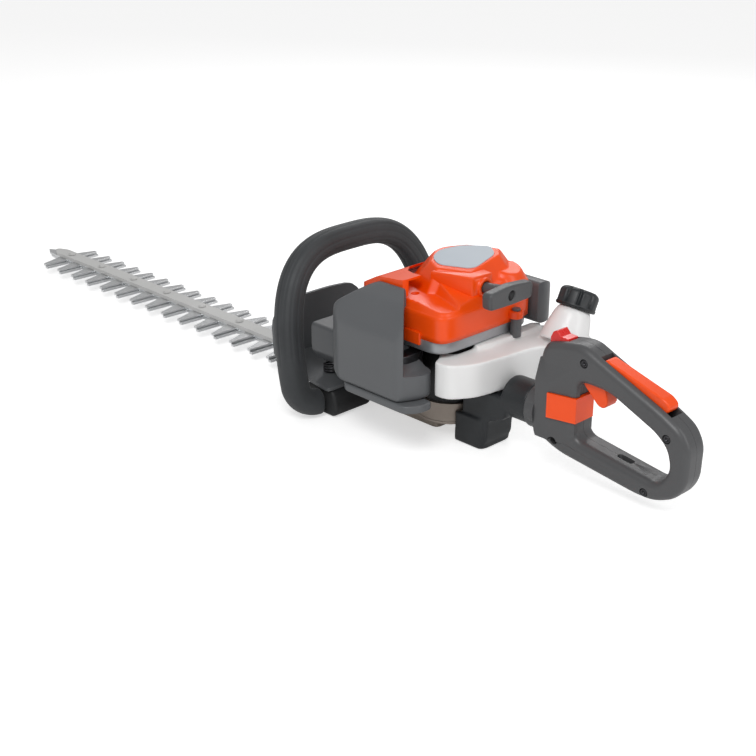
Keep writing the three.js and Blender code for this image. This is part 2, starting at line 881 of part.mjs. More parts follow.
// ---------- fuel ----------
const tankRear = outline(
  [
    [-22, 44],
    [-36, 58],
    [-38, 71],
    [-53, 68],
    [-68, 44],
    [-74, 6],
    [-78, -36],
    [-104, -66],
    [-107, -92],
    [-92, -106],
    [-60, -108],
    [-34, -84],
    [-34, 40],
  ],
  9,
);
const neckFrame = new THREE.Matrix4()
  .makeTranslation(...CAP_AT)
  .multiply(new THREE.Matrix4().makeRotationX(CAP_LEAN));
const turned = (geometry) => solid(geometry.applyMatrix4(neckFrame));
const upright = (radius, end, lo, hi, sides) =>
  new THREE.CylinderGeometry(end, radius, hi - lo, sides)
    .rotateX(Math.PI / 2)
    .translate(0, 0, (lo + hi) / 2);
place(
  "fuel_tank",
  cut(
    join(
      prism("z", tankRear, 50, 87),
      turned(upright(25, 17.5, -38, 0, 24)),
      turned(upright(13, 13, -1, 8, 20)),
    ),
    prism("z", outline([
      [-40, 50],
      [-43, 64],
      [-52, 62],
      [-62, 42],
      [-70, -36],
      [-98, -68],
      [-99, -88],
      [-88, -100],
      [-62, -102],
      [-40, -82],
      [-40, 40],
    ], 6), 53, 84),
    turned(upright(11, 11, -45, 9, 16)),
  ),
  TANK,
);
const ribs = Array.from({ length: 10 }, (_, i) =>
  turned(
    new THREE.CylinderGeometry(2.2, 2.2, 14, 6)
      .rotateX(Math.PI / 2)
      .translate(CAP_R, 0, 12)
      .rotateZ((2 * Math.PI * i) / 10),
  ),
);
place(
  "fuel_cap",
  cut(
    turned(upright(CAP_R, CAP_R - 1.5, GAP, 21, 30)),
    turned(upright(13 + GAP, 13 + GAP, -1, 9, 20)),
    ...ribs,
  ),
  RUBBER,
);

// ---------- intake side ----------
const filterY = -COVER_RIGHT - 2;
place("carburetor", box([2, 34], [-64, -37], [52, 88]), CAST);
place("air_filter", box([-30, 48], [-95, filterY - 4], [98, 130]), PAPER);
const filterEnd = (wall) =>
  outline(
    [
      [filterY, 93 + wall],
      [-100 + wall, 93 + wall],
      [-104 + wall, 120],
      [-98 + wall, 134 - wall],
      [-88, 139 - wall],
      [filterY, 139 - wall],
    ],
    5,
  );
const filterPlan = (wall) =>
  outline(
    [
      [-44 + wall, filterY + 1],
      [-48 + wall, -88],
      [-38 + wall, -106 + wall],
      [58 - wall, -106 + wall],
      [66 - wall, -88],
      [64 - wall, filterY + 1],
    ],
    5,
  );
const filterForm = (wall) =>
  common(prism("x", filterEnd(wall), -60, 70), prism("z", filterPlan(wall), 80, 150));
place(
  "air_filter_cover",
  cut(
    filterForm(0),
    filterForm(SHELL),
    box([-38, 56], [filterY - 4, filterY + 4], [98, 134]),
    rod("y", [6, 112], -110, -98, 4.2, 16),
  ),
  GREY,
);
place(
  "choke_lever",
  join(rod("y", [6, 112], -109, -101, 3.9, 16), box([2, 24], [-113, -108], [109, 115])),
  ORANGE,
);
place(
  "primer_bulb",
  join(rod("y", [18, 70], -78, -70, 9, 16), rod("y", [18, 70], -86, -77, 5.5, 16, 9)),
  RUBBER,
);

// ---------- front handle ----------
const loopPoint = (y, up) =>
  new THREE.Vector3(LOOP_X + Math.sin(LOOP_LEAN) * up, y, Math.cos(LOOP_LEAN) * up);
function loopPath() {
  const half = LOOP_HALF - LOOP_TUBE / 2;
  const high = LOOP_HEIGHT - LOOP_TUBE / 2;
  const low = (FLOOR + LOOP_TUBE / 2) / Math.cos(LOOP_LEAN);
  const bend = 26;
  const points = [];
  for (const turn of [0, 30, 60]) {
    const a = THREE.MathUtils.degToRad(turn);
    points.push(loopPoint(half - bend * (1 - Math.sin(a)), low + bend * (1 - Math.cos(a))));
  }
  const arch = 26;
  for (let i = 0; i <= arch; i++) {
    const turn = 0.28 + (i / arch) * (Math.PI - 0.56);
    const c = Math.cos(turn);
    const s = Math.sin(turn);
    const r = ((Math.abs(c) / half) ** LOOP_SQUARE + (s / high) ** LOOP_SQUARE) ** (-1 / LOOP_SQUARE);
    points.push(loopPoint(r * c, r * s));
  }
  for (const turn of [60, 30, 0]) {
    const a = THREE.MathUtils.degToRad(turn);
    points.push(loopPoint(-half + bend * (1 - Math.sin(a)), low + bend * (1 - Math.cos(a))));
  }
  return new THREE.CatmullRomCurve3(points, false, "centripetal");
}
function disc(radius, sides) {
  const shape = new THREE.Shape();
  for (let i = 0; i <= sides; i++) {
    const turn = (2 * Math.PI * i) / sides;
    const spot = [radius * Math.cos(turn), radius * Math.sin(turn)];
    if (i) shape.lineTo(...spot);
    else shape.moveTo(...spot);
  }
  return shape;
}
place(
  "front_handle",
  solid(
    new THREE.ExtrudeGeometry(disc(LOOP_TUBE / 2, 10), {
      extrudePath: loopPath(),
      steps: 34,
      bevelEnabled: false,
    }),
  ),
  DARK,
);

const legY = LOOP_HALF - LOOP_TUBE / 2 - 26; // the tube's ends
const shelfZ = 13;
const baseRear = noseHalf + GAP; // the bases stand on both sides of the gear case's nose
const baseEnd = (side) => (side > 0 ? [baseRear, legY - 5] : [-legY + 5, -baseRear]);
const basePlan = outline(
  [
    [LOOP_X - 24, FLOOR],
    [LOOP_X + 16, FLOOR],
    [LOOP_X + 24, FLOOR + 8],
    [LOOP_X + 22, shelfZ - GAP],
    [LOOP_X - 22, shelfZ - GAP],
    [LOOP_X - 28, FLOOR + 10],
  ],
  5,
);
for (const [name, side] of [
  ["handle_base_left", 1],
  ["handle_base_right", -1],
]) {
  place(name, prism("y", basePlan, ...baseEnd(side)), RUBBER);
}

// The guard: an upright plate on a shelf that lies over both bases, notched over the guide bar.
const guardFace = outline(
  [
    [-GUARD_HALF, shelfZ],
    [GUARD_HALF, shelfZ],
    [GUARD_HALF + 3, GUARD_TOP - 20],
    [GUARD_HALF - 12, GUARD_TOP - 3],
    [20, GUARD_TOP],
    [-20, GUARD_TOP],
    [-GUARD_HALF + 12, GUARD_TOP - 3],
    [-GUARD_HALF - 3, GUARD_TOP - 20],
  ],
  10,
);
place(
  "hand_guard",
  join(
    prism("x", guardFace, GUARD_X, GUARD_X + GUARD_THICK),
    prism(
      "z",
      outline(
        [
          [LOOP_X - 20, -legY],
          [GUARD_X + GUARD_THICK, -GUARD_HALF],
          [GUARD_X + GUARD_THICK, GUARD_HALF],
          [LOOP_X - 20, legY],
        ],
        6,
      ),
      shelfZ,
      shelfZ + GUARD_THICK,
    ),
  ),
  GREY,
);

// Anti-vibration springs between the shelf and the engine's front bracket.
const springX = 146;
const springY = 46;
const springZ = [shelfZ + GUARD_THICK + GAP, 30];
class Coil extends THREE.Curve {
  constructor(x, y, low, high, radius, turns) {
    super();
    Object.assign(this, { x, y, low, high, radius, turns });
  }
  getPoint(t, target = new THREE.Vector3()) {
    const turn = 2 * Math.PI * this.turns * t;
    return target.set(
      this.x + this.radius * Math.cos(turn),
      this.y + this.radius * Math.sin(turn),
      this.low + (this.high - this.low) * t,
    );
  }
}
for (const [name, side] of [
  ["av_spring_left", 1],
  ["av_spring_right", -1],
]) {
  const coil = new Coil(springX, side * springY, springZ[0] + 1.5, springZ[1] - 1.5, 8, 3);
  place(
    name,
    solid(
      new THREE.ExtrudeGeometry(disc(1.4, 5), { extrudePath: coil, steps: 30, bevelEnabled: false }),
    ),
    DARK_STEEL,
  );
}

// The engine's front bracket spans both springs and is bolted to the cylinder side of the engine.
place(
  "engine_bracket",
  cut(
    join(
      prism(
        "x",
        outline(
          [
            [-66, 78],
            [-66, 46],
            [-52, springZ[1] + GAP],
            [-36, springZ[1] + GAP],
            [-30, 40],
            [30, 40],
            [36, springZ[1] + GAP],
            [52, springZ[1] + GAP],
            [66, 46],
            [66, 78],
          ],
          4,
        ),
        104,
        156,
      ),
      box([96, 106], [-60, 60], [44, 76]),
    ),
    box([107, 160], [-62, 62], [46, 74]),
  ),
  DARK,
);

// ---------- rear bracket ----------
// A foot under the engine, with a tube behind the tank that carries the handle's spindle.
const boxHalf = 24;
const bracketFront = CRANK_X - clutchR - 1;
const tubeFront = -80; // just behind the tank
const tubeR = SWIVEL_R - 1.5;
const spindleEnd = HANDLE_FRONT - 14;
place(
  "rear_bracket",
  join(
    prism(
      "y",
      outline(
        [
          [bracketFront, FLOOR],
          [-54, FLOOR],
          [-62, FLOOR + 8],
          [-64, 16],
          [tubeFront - 6, 24],
          [tubeFront - 6, 48],
          [bracketFront, 48],
        ],
        4,
      ),
      -boxHalf + 3,
      boxHalf - 3,
    ),
    cut(
      prism(
        "z",
        outline(
          [
            [-20, -boxHalf],
            [-20, boxHalf],
            [-56, boxHalf],
            [-60, boxHalf - 5],
            [-60, -boxHalf + 5],
            [-56, -boxHalf],
          ],
          3,
        ),
        FLOOR,
        16,
      ),
      rod("z", [CRANK_X, 0], CASE_SPLIT - 5, 60, clutchR + GAP * 2, 24),
    ),
    rod("x", [0, SWIVEL_Z], COLLAR_FRONT + GAP, tubeFront, tubeR, 24),
    rod("x", [0, SWIVEL_Z], spindleEnd, COLLAR_FRONT + 1, SWIVEL_BORE - GAP, 16),
    rod("x", [0, SWIVEL_Z], spindleEnd, spindleEnd + 4, SWIVEL_BORE + 4, 16),
  ),
  DARK,
);

// ---------- rear handle ----------
// Side view of the closed D: outside, then the hand opening.
const handleOutside = (wall) =>
  outline(
    [
      [HANDLE_FRONT - wall, 20 + wall],
      [HANDLE_FRONT - wall, 108 - wall],
      [-130 - wall, 120 - wall],
      [-152, 126 - wall],
      [-174, 129 - wall],
      [-196, 119 - wall],
      [-268, 89 - wall],
      [-290 + wall, 77 - wall],
      [-300 + wall, 60],
      [-299 + wall, 24],
      [-288 + wall, 7 + wall],
      [-266, -3 + wall],
      [-244, -3 + wall],
      [-150, 9 + wall],
    ],
    12,
  );
const blockRear = -170;
const opening = (wall) =>
  outline(
    [
      [blockRear + wall, 30 - wall],
      [blockRear + wall, 86 + wall],
      [-206, 87 + wall],
      [-262, 65 + wall],
      [-275 - wall, 55 + wall],
      [-281 - wall, 34 - wall],
      [-268 - wall, 16 - wall],
    ],
    9,
  );
const blockPlan = (wall) =>
  outline([
    [HANDLE_FRONT - wall, -BLOCK_HALF + wall],
    [-142, -BLOCK_HALF + wall],
    [blockRear + wall, -14 + wall],
    [blockRear + wall, 14 - wall],
    [-142, BLOCK_HALF - wall],
    [HANDLE_FRONT - wall, BLOCK_HALF - wall],
  ]);
// The swivel lock wraps round the block's left and rear faces, between two depths of its wall.
const latchZ = [47, 73];
const latchForm = (outer, inner, gap) =>
  common(
    cut(prism("z", blockPlan(outer), 30, 90), prism("z", blockPlan(inner), 29, 91)),
    box(
      [blockRear - 4, -141 + gap],
      [-LATCH_HALF - gap, BLOCK_HALF + 4],
      [latchZ[0] - gap, latchZ[1] + gap],
    ),
  );
const handleForm = (wall) =>
  join(
    cut(
      prism("y", handleOutside(wall), -HANDLE_HALF + wall, HANDLE_HALF - wall),
      prism("y", opening(wall), -40, 40),
    ),
    common(
      prism("z", blockPlan(wall), 22 + wall, 106 - wall),
      prism("y", handleOutside(wall), -40, 40),
    ),
    rod("x", [0, SWIVEL_Z], HANDLE_FRONT - 1, COLLAR_FRONT - wall, SWIVEL_R - wall, 20),
  );
const handleOpenings = [
  rod("x", [0, SWIVEL_Z], HANDLE_FRONT - 4, COLLAR_FRONT + 1, SWIVEL_BORE, 16), // spindle
  box([-214, blockRear + 2], [-TRIGGER_HALF - 1, TRIGGER_HALF + 1], [66, 100]), // trigger
  box([-272, -192], [-LOCKOUT_HALF - GAP, LOCKOUT_HALF + GAP], [84, 140]), // lockout
  box([-154, -129], [-8 - GAP, 8 + GAP], [116, 140]), // switch
  latchForm(-3, HANDLE_WALL + 2, GAP), // latch
];
const screwSpots = [
  [-178, 112],
  [-276, 66],
  [-256, 4],
];
const pillars = (radius, low, high) =>
  screwSpots.map((spot) => rod("y", spot, low, high, radius, 8));
const wholeHandle = cut(
  join(
    cut(handleForm(0), handleForm(HANDLE_WALL)),
    ...pillars(5, -HANDLE_HALF + 1, HANDLE_HALF - 1),
  ),
  ...handleOpenings,
  ...pillars(2.3, -40, 40),
);
const leftSide = box([-400, 0], [GAP / 2, 60], [-60, 200]);
const rightSide = box([-400, 0], [-60, -GAP / 2], [-60, 200]);
const seatDepth = 3;
const screwSeats = pillars(4.3, HANDLE_HALF - seatDepth, 60);
place("rear_handle_left", cut(common(wholeHandle, leftSide), ...screwSeats), HANDLE_GREY);
place("rear_handle_right", common(wholeHandle, rightSide), HANDLE_GREY);
screwSpots.forEach((spot, i) => {
  place(
    `handle_screw_${i + 1}`,
    join(
      rod("y", spot, -HANDLE_HALF + 4, HANDLE_HALF - 2, 2, 10),
      rod("y", spot, HANDLE_HALF - seatDepth + GAP, HANDLE_HALF - 0.5, 4, 12),
    ),
    DARK_STEEL,
  );
});

// ---------- controls ----------
place(
  "throttle_trigger",
  prism(
    "y",
    outline(
      [
        [blockRear - 2, 97],
        [blockRear - 3, 88],
        [-192, 70],
        [-199, 69],
        [-203, 75],
        [-198, 97],
      ],
      3,
    ),
    -TRIGGER_HALF,
    TRIGGER_HALF,
  ),
  ORANGE,
);
place(
  "throttle_lockout",
  prism(
    "y",
    outline(
      [
        [-196, 119.8],
        [-194, 112],
        [-262, 84],
        [-271, 88],
        [-271.5, 94],
        [-265, 99.5],
      ],
      3,
    ),
    -LOCKOUT_HALF,
    LOCKOUT_HALF,
  ),
  ORANGE,
);
place(
  "stop_switch",
  prism(
    "y",
    outline([
      [-130, 119],
      [-152, 119],
      [-152, 127],
      [-143, 127.5],
      [-138, 133],
      [-133, 130.5],
      [-130, 124.5],
    ]),
    -8,
    8,
  ),
  RED,
);
place("swivel_lock", latchForm(-2, HANDLE_WALL - 0.3, 0), ORANGE);

// ---------- the machine's own frame ----------
const machine = new THREE.Group();
machine.add(model);
const bounds = new THREE.Box3().setFromObject(model, true);
model.position.set(
  -(bounds.min.x + bounds.max.x) / 2,
  -(bounds.min.y + bounds.max.y) / 2,
  -bounds.min.z,
);

export default machine;
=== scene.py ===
"""Looks of the petrol hedge trimmer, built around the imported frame.

Lengths in the shapes below are millimetres in the working frame W: X = 0 is the middle of the top cover,
+X points to the blade tip, +Y is the machine's left, and Z = 0 is the top face of the upper blade.
spot() turns W into the frame's metres.
"""

import json
import math

import bmesh
import bpy
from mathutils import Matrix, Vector


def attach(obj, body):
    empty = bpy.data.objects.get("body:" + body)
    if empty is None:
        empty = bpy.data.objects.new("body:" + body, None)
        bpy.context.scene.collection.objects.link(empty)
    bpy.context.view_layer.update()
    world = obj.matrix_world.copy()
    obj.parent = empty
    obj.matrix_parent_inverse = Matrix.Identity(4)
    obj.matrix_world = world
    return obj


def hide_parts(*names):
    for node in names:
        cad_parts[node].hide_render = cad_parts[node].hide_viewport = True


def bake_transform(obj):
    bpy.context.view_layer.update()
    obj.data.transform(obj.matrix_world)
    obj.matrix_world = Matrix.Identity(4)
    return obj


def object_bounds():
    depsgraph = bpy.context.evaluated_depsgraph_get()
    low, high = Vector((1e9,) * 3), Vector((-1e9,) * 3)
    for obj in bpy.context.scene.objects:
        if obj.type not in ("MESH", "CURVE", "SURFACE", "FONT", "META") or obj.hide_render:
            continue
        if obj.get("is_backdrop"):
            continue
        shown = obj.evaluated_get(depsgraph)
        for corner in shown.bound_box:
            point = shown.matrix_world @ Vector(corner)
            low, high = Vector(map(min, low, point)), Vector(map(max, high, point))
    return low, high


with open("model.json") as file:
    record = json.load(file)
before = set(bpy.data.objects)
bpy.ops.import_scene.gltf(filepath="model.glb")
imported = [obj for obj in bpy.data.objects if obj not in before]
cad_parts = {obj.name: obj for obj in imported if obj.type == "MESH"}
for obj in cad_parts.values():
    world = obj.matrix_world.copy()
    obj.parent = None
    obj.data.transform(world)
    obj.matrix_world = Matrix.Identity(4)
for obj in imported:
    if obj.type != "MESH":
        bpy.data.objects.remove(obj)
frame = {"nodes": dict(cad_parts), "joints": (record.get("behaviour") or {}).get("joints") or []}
cad_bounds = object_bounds()
NODES = frame["nodes"]
JOINTS = {joint["name"]: joint for joint in frame["joints"]}

MM = 0.001
CRANK_X = 8  # the crank axis in W
FLOOR = -18  # the floor in W
ROPE_HEIGHT = 150  # the starter rope's line in W
ORIGIN = Vector((JOINTS["crank_spin"]["pos_m"][0] - CRANK_X * MM, 0, -FLOOR * MM))


def spot(x, y, z):
    """A point of W in the frame's metres."""
    return Vector((x, y, z)) * MM + ORIGIN


# ---------------------------------------------------------------- camera, lights, floor


CAMERA_LENS = 65.5  # focal length in mm on a sensor 36 mm wide
CAMERA_AT = (-909, 996, 605)
CAMERA_ELEVATION = math.radians(22.8)
CAMERA_TURN = math.radians(44.1)  # off the blade's axis


def make_camera():
    """The photograph's view, from the left rear and above."""
    camera = bpy.data.cameras.new("camera")
    camera.lens = CAMERA_LENS
    camera.sensor_width = 36
    camera.clip_end = 50
    thing = bpy.data.objects.new("camera", camera)
    bpy.context.scene.collection.objects.link(thing)
    level = math.cos(CAMERA_ELEVATION)
    look = Vector(
        (
            level * math.cos(CAMERA_TURN),
            -level * math.sin(CAMERA_TURN),
            -math.sin(CAMERA_ELEVATION),
        )
    )
    thing.location = spot(*CAMERA_AT)
    thing.rotation_euler = look.to_track_quat("-Z", "Y").to_euler()
    bpy.context.scene.camera = thing


def area_light(name, at, target, size, power):
    """A white soft box; at, target and size are in the frame's metres."""
    light = bpy.data.lights.new(name, "AREA")
    light.shape = "RECTANGLE"
    light.size, light.size_y = size
    light.energy = power
    thing = bpy.data.objects.new(name, light)
    bpy.context.scene.collection.objects.link(thing)
    thing.location = at
    thing.rotation_euler = (Vector(target) - Vector(at)).to_track_quat("-Z", "Y").to_euler()


def camera_only(tree, socket, seen, light):
    """Drives a strength: seen is what the camera sees, and light is what every other ray gets."""
    rays = tree.nodes.new("ShaderNodeLightPath")
    strength = tree.nodes.new("ShaderNodeMapRange")
    strength.inputs["To Min"].default_value = light
    strength.inputs["To Max"].default_value = seen
    tree.links.new(rays.outputs["Is Camera Ray"], strength.inputs["Value"])
    tree.links.new(strength.outputs["Result"], socket)


FLOOR_SIZE = 60  # metres, so that its edge is out of sight
FLOOR_GAP = 0.0004  # metres under the machine, so that no faces coincide


def make_studio():
    scene = bpy.context.scene
    scene.view_settings.view_transform = "Standard"
    world = bpy.data.worlds.new("studio")
    world.use_nodes = True
    background = world.node_tree.nodes["Background"]
    background.inputs["Color"].default_value = (1, 1, 1, 1)
    # white behind the floor, so that no horizon shows
    camera_only(world.node_tree, background.inputs["Strength"], 1.0, 0.42)
    scene.world = world
    area_light("key", (-0.9, 1.1, 1.5), (-0.15, 0, 0.08), (0.7, 0.7), 15)
    area_light("rim", (0.7, -1.3, 1.2), (-0.1, 0, 0.1), (1.2, 0.5), 8)
    area_light("strip", (-1.5, -0.3, 0.9), (-0.25, 0, 0.1), (0.35, 1.4), 5)
    bpy.ops.mesh.primitive_plane_add(size=FLOOR_SIZE, location=(0, 0, -FLOOR_GAP))
    floor = bpy.context.object
    floor.name = "floor"
    paper = bpy.data.materials.new("floor_paper")
    paper.use_nodes = True
    shader = paper.node_tree.nodes["Principled BSDF"]
    shader.inputs["Base Color"].default_value = (0.8, 0.8, 0.8, 1)
    shader.inputs["Roughness"].default_value = 0.8
    shader.inputs["Specular IOR Level"].default_value = 0.1
    shader.inputs["Emission Color"].default_value = (1, 1, 1, 1)
    camera_only(paper.node_tree, shader.inputs["Emission Strength"], 0.56, 0.12)
    floor.data.materials.append(paper)
    floor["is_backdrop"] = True


# ---------------------------------------------------------------- materials


class Paint:
    """A node material built step by step round one Principled shader."""

    def __init__(self, name):
        self.material = bpy.data.materials.new(name)
        self.material.use_nodes = True
        self.tree = self.material.node_tree
        self.shader = self.tree.nodes["Principled BSDF"]
        self.coordinates = self.tree.nodes.new("ShaderNodeTexCoord").outputs["Object"]

    def put(self, socket, value):
        target = self.shader.inputs[socket]
        if isinstance(value, bpy.types.NodeSocket):
            self.tree.links.new(value, target)
        elif isinstance(value, (tuple, list)):
            target.default_value = (*value, 1) if len(target.default_value) == 4 else value
        else:
            target.default_value = value

    def noise(self, scale, detail, stretch=(1, 1, 1)):
        mapping = self.tree.nodes.new("ShaderNodeMapping")
        mapping.inputs["Scale"].default_value = stretch
        self.tree.links.new(self.coordinates, mapping.inputs["Vector"])
        node = self.tree.nodes.new("ShaderNodeTexNoise")
        node.inputs["Scale"].default_value = scale
        node.inputs["Detail"].default_value = detail
        node.inputs["Roughness"].default_value = 0.5
        self.tree.links.new(mapping.outputs["Vector"], node.inputs["Vector"])
        return node.outputs["Fac"]

    def spread(self, factor, low, high):
        """A factor of 0 to 1 spread over low to high."""
        node = self.tree.nodes.new("ShaderNodeMapRange")
        self.tree.links.new(factor, node.inputs["Value"])
        node.inputs["To Min"].default_value = low
        node.inputs["To Max"].default_value = high
        return node.outputs["Result"]

    def mixed(self, factor, first, second):
        """A colour between first and second."""
        ramp = self.tree.nodes.new("ShaderNodeValToRGB")
        ramp.color_ramp.elements[0].position = 0.3
        ramp.color_ramp.elements[1].position = 0.7
        ramp.color_ramp.elements[0].color = (*first, 1)
        ramp.color_ramp.elements[1].color = (*second, 1)
        self.tree.links.new(factor, ramp.inputs["Fac"])
        return ramp.outputs["Color"]

    def bump(self, height, strength, distance):
        node = self.tree.nodes.new("ShaderNodeBump")
        node.inputs["Strength"].default_value = strength
        node.inputs["Distance"].default_value = distance
        self.tree.links.new(height, node.inputs["Height"])
        self.tree.links.new(node.outputs["Normal"], self.shader.inputs["Normal"])


def shade(colour, share):
    """A darker or lighter version of a colour."""
    return tuple(min(1, part * share) for part in colour)


def plastic(name, colour, roughness, grain, coat=0.0):
    """Moulded plastic: a fine spark-eroded grain, faint flow marks in colour and gloss."""
    paint = Paint(name)
    flow = paint.noise(9, 4)
    paint.put("Base Color", paint.mixed(flow, shade(colour, 0.93), shade(colour, 1.05)))
    paint.put("Roughness", paint.spread(paint.noise(35, 5), roughness - 0.05, roughness + 0.07))
    paint.bump(paint.noise(900, 2), grain, 0.0002)
    paint.put("Specular IOR Level", 0.5)
    if coat:
        paint.put("Coat Weight", coat)
        paint.put("Coat Roughness", 0.12)
    return paint.material


def metal(name, colour, roughness, stretch=(1, 14, 14)):
    """Ground or cast metal: grain drawn out along one direction, cloudy gloss."""
    paint = Paint(name)
    grind = paint.noise(220, 4, stretch)
    paint.put("Base Color", paint.mixed(grind, shade(colour, 0.84), shade(colour, 1.1)))
    paint.put("Metallic", 1.0)
    paint.put("Roughness", paint.spread(paint.noise(60, 5, stretch), roughness - 0.09, roughness + 0.12))
    paint.bump(grind, 0.25, 0.0002)
    return paint.material


def cast(name, colour, roughness):
    """Die-cast alloy with a blasted, slightly sandy skin."""
    paint = Paint(name)
    sand = paint.noise(700, 5)
    paint.put("Base Color", paint.mixed(paint.noise(24, 6), shade(colour, 0.85), shade(colour, 1.1)))
    paint.put("Metallic", 0.75)
    paint.put("Roughness", paint.spread(sand, roughness - 0.06, roughness + 0.1))
    paint.bump(sand, 0.5, 0.0003)
    return paint.material


def rubber(name, colour):
    """Soft dull rubber with a little dust in it."""
    paint = Paint(name)
    dust = paint.noise(18, 6)
    paint.put("Base Color", paint.mixed(dust, shade(colour, 0.85), shade(colour, 1.25)))
    paint.put("Roughness", paint.spread(paint.noise(120, 4), 0.5, 0.72))
    paint.bump(paint.noise(1300, 3), 0.45, 0.0002)
    paint.put("Sheen Weight", 0.08)
    return paint.material


def tank_plastic(name):
    """Milky blow-moulded polyethylene that lets light through its wall."""
    paint = Paint(name)
    wall = paint.noise(7, 4)
    paint.put("Base Color", paint.mixed(wall, (0.80, 0.80, 0.79), (0.90, 0.90, 0.90)))
    paint.put("Roughness", paint.spread(paint.noise(50, 4), 0.26, 0.38))
    paint.put("Subsurface Weight", 0.35)
    paint.put("Subsurface Radius", (0.008, 0.008, 0.008))
    paint.bump(paint.noise(420, 3), 0.12, 0.0003)
    return paint.material


def label_film(name):
    """A blank silver badge with a soft printed fade and no lettering."""
    paint = Paint(name)
    paint.put("Base Color", paint.mixed(paint.noise(6, 2), (0.40, 0.45, 0.51), (0.52, 0.56, 0.60)))
    paint.put("Metallic", 0.0)
    paint.put("Specular IOR Level", 0.25)
    paint.put("Roughness", paint.spread(paint.noise(80, 3), 0.45, 0.55))
    paint.bump(paint.noise(1500, 2), 0.08, 0.0001)
    return paint.material


def pleated_paper(name):
    """Yellowish filter paper with fine folds; its colour is painted darker in the folds' hollows, as shade.
    """
    paint = Paint(name)
    pleats = paint.noise(160, 1, (1, 0.05, 0.05))
    # painted shade: the colour follows the pleats' height, darker in the hollows
    paint.put("Base Color", paint.mixed(pleats, (0.62, 0.56, 0.40), (0.86, 0.82, 0.68)))
    paint.put("Roughness", paint.spread(paint.noise(300, 4), 0.75, 0.95))
    paint.bump(pleats, 0.8, 0.002)
    return paint.material


MATERIALS = {
    "blade_steel": metal("blade_steel", (0.78, 0.79, 0.80), 0.3),
    "bar_steel": plastic("bar_steel", (0.60, 0.60, 0.59), 0.34, 0.1),
    "dark_steel": metal("dark_steel", (0.07, 0.07, 0.075), 0.42, (1, 1, 1)),
    "bright_steel": metal("bright_steel", (0.62, 0.62, 0.62), 0.25, (8, 8, 1)),
    "cast_alloy": cast("cast_alloy", (0.36, 0.31, 0.27), 0.48),
    # near-black cast colour for the crankcase and cylinder: painted shade, standing in for the shadow in
    # the gap under the silver frame
    "painted_shade_alloy": cast("painted_shade_alloy", (0.035, 0.035, 0.036), 0.5),
    "ceramic": plastic("ceramic", (0.85, 0.85, 0.82), 0.15, 0.05),
    "orange_plastic": plastic("orange_plastic", (0.95, 0.078, 0.0), 0.3, 0.08),
    "grey_plastic": plastic("grey_plastic", (0.108, 0.113, 0.119), 0.38, 0.3),
    "dark_plastic": plastic("dark_plastic", (0.015, 0.0175, 0.020), 0.42, 0.3),
    "handle_plastic": plastic("handle_plastic", (0.080, 0.081, 0.084), 0.38, 0.35),
    "grip_rubber": rubber("grip_rubber", (0.034, 0.037, 0.040)),
    "black_rubber": rubber("black_rubber", (0.012, 0.013, 0.014)),
    "silver_frame": cast("silver_frame", (0.42, 0.44, 0.46), 0.38),
    "tank_plastic": tank_plastic("tank_plastic"),
    "red_plastic": plastic("red_plastic", (0.70, 0.014, 0.010), 0.28, 0.1, 0.2),
    "label": label_film("label"),
    "filter_paper": pleated_paper("filter_paper"),
}


# ---------------------------------------------------------------- mesh making


def new_object(name, work):
    """An object from a bmesh that is in W millimetres; the mesh is stored in metres."""
    bmesh.ops.recalc_face_normals(work, faces=work.faces)
    for vertex in work.verts:
        vertex.co = spot(*vertex.co)
    mesh = bpy.data.meshes.new(name)
    work.to_mesh(mesh)
    work.free()
    thing = bpy.data.objects.new(name, mesh)
    bpy.context.scene.collection.objects.link(thing)
    for face in mesh.polygons:
        face.use_smooth = True
    return thing


def apply_modifiers(thing):
    """Bakes a made piece's modifiers into its mesh."""
    bpy.context.view_layer.update()
    depsgraph = bpy.context.evaluated_depsgraph_get()
    mesh = bpy.data.meshes.new_from_object(thing.evaluated_get(depsgraph), depsgraph=depsgraph)
    old = thing.data
    thing.modifiers.clear()
    thing.data = mesh
    bpy.data.meshes.remove(old)


def bevel(thing, width, segments, angle=32):
    """Rounds the edges sharper than angle degrees by width millimetres, and shades smoothly."""
    step = thing.modifiers.new("bevel", "BEVEL")
    step.width = width * MM
    step.segments = segments
    step.limit_method = "ANGLE"
    step.angle_limit = math.radians(angle)
    step.harden_normals = False
    step.use_clamp_overlap = True
    weigh = thing.modifiers.new("weights", "WEIGHTED_NORMAL")
    weigh.keep_sharp = False
    weigh.weight = 60


def rounded_off(thing, width, segments, angle=32):
    """Bevels a made piece for good."""
    bevel(thing, width, segments, angle)
    apply_modifiers(thing)


def boolean(thing, other, operation="DIFFERENCE"):
    """Cuts other out of thing, or joins or intersects them; other is used up."""
    step = thing.modifiers.new("boolean", "BOOLEAN")
    step.operation = operation
    step.solver = "EXACT"
    step.object = other
    apply_modifiers(thing)
    bpy.data.objects.remove(other)


def slice_off(thing, at, normal, clear):
    """Cuts a made piece along a plane, clears its "outer" or "inner" side and closes the cut."""
    work = bmesh.new()
    work.from_mesh(thing.data)
    bmesh.ops.bisect_plane(
        work,
        geom=work.verts[:] + work.edges[:] + work.faces[:],
        plane_co=spot(*at),
        plane_no=Vector(normal).normalized(),
        clear_outer=clear == "outer",
        clear_inner=clear == "inner",
    )
    bmesh.ops.holes_fill(work, edges=[e for e in work.edges if e.is_boundary])
    work.to_mesh(thing.data)
    work.free()


def rounded(points, radius, steps=6):
    """The points of an outline with each corner rounded by a quadratic arc."""
    made = []
    count = len(points)
    for i, point in enumerate(points):
        here = Vector(point)
        before = Vector(points[i - 1])
        after = Vector(points[(i + 1) % count])
        reach = min(radius, (here - before).length * 0.45, (here - after).length * 0.45)
        start = here + (before - here).normalized() * reach
        end = here + (after - here).normalized() * reach
        for k in range(steps + 1):
            t = k / steps
            made.append(start * (1 - t) ** 2 + here * 2 * t * (1 - t) + end * t**2)
    return made


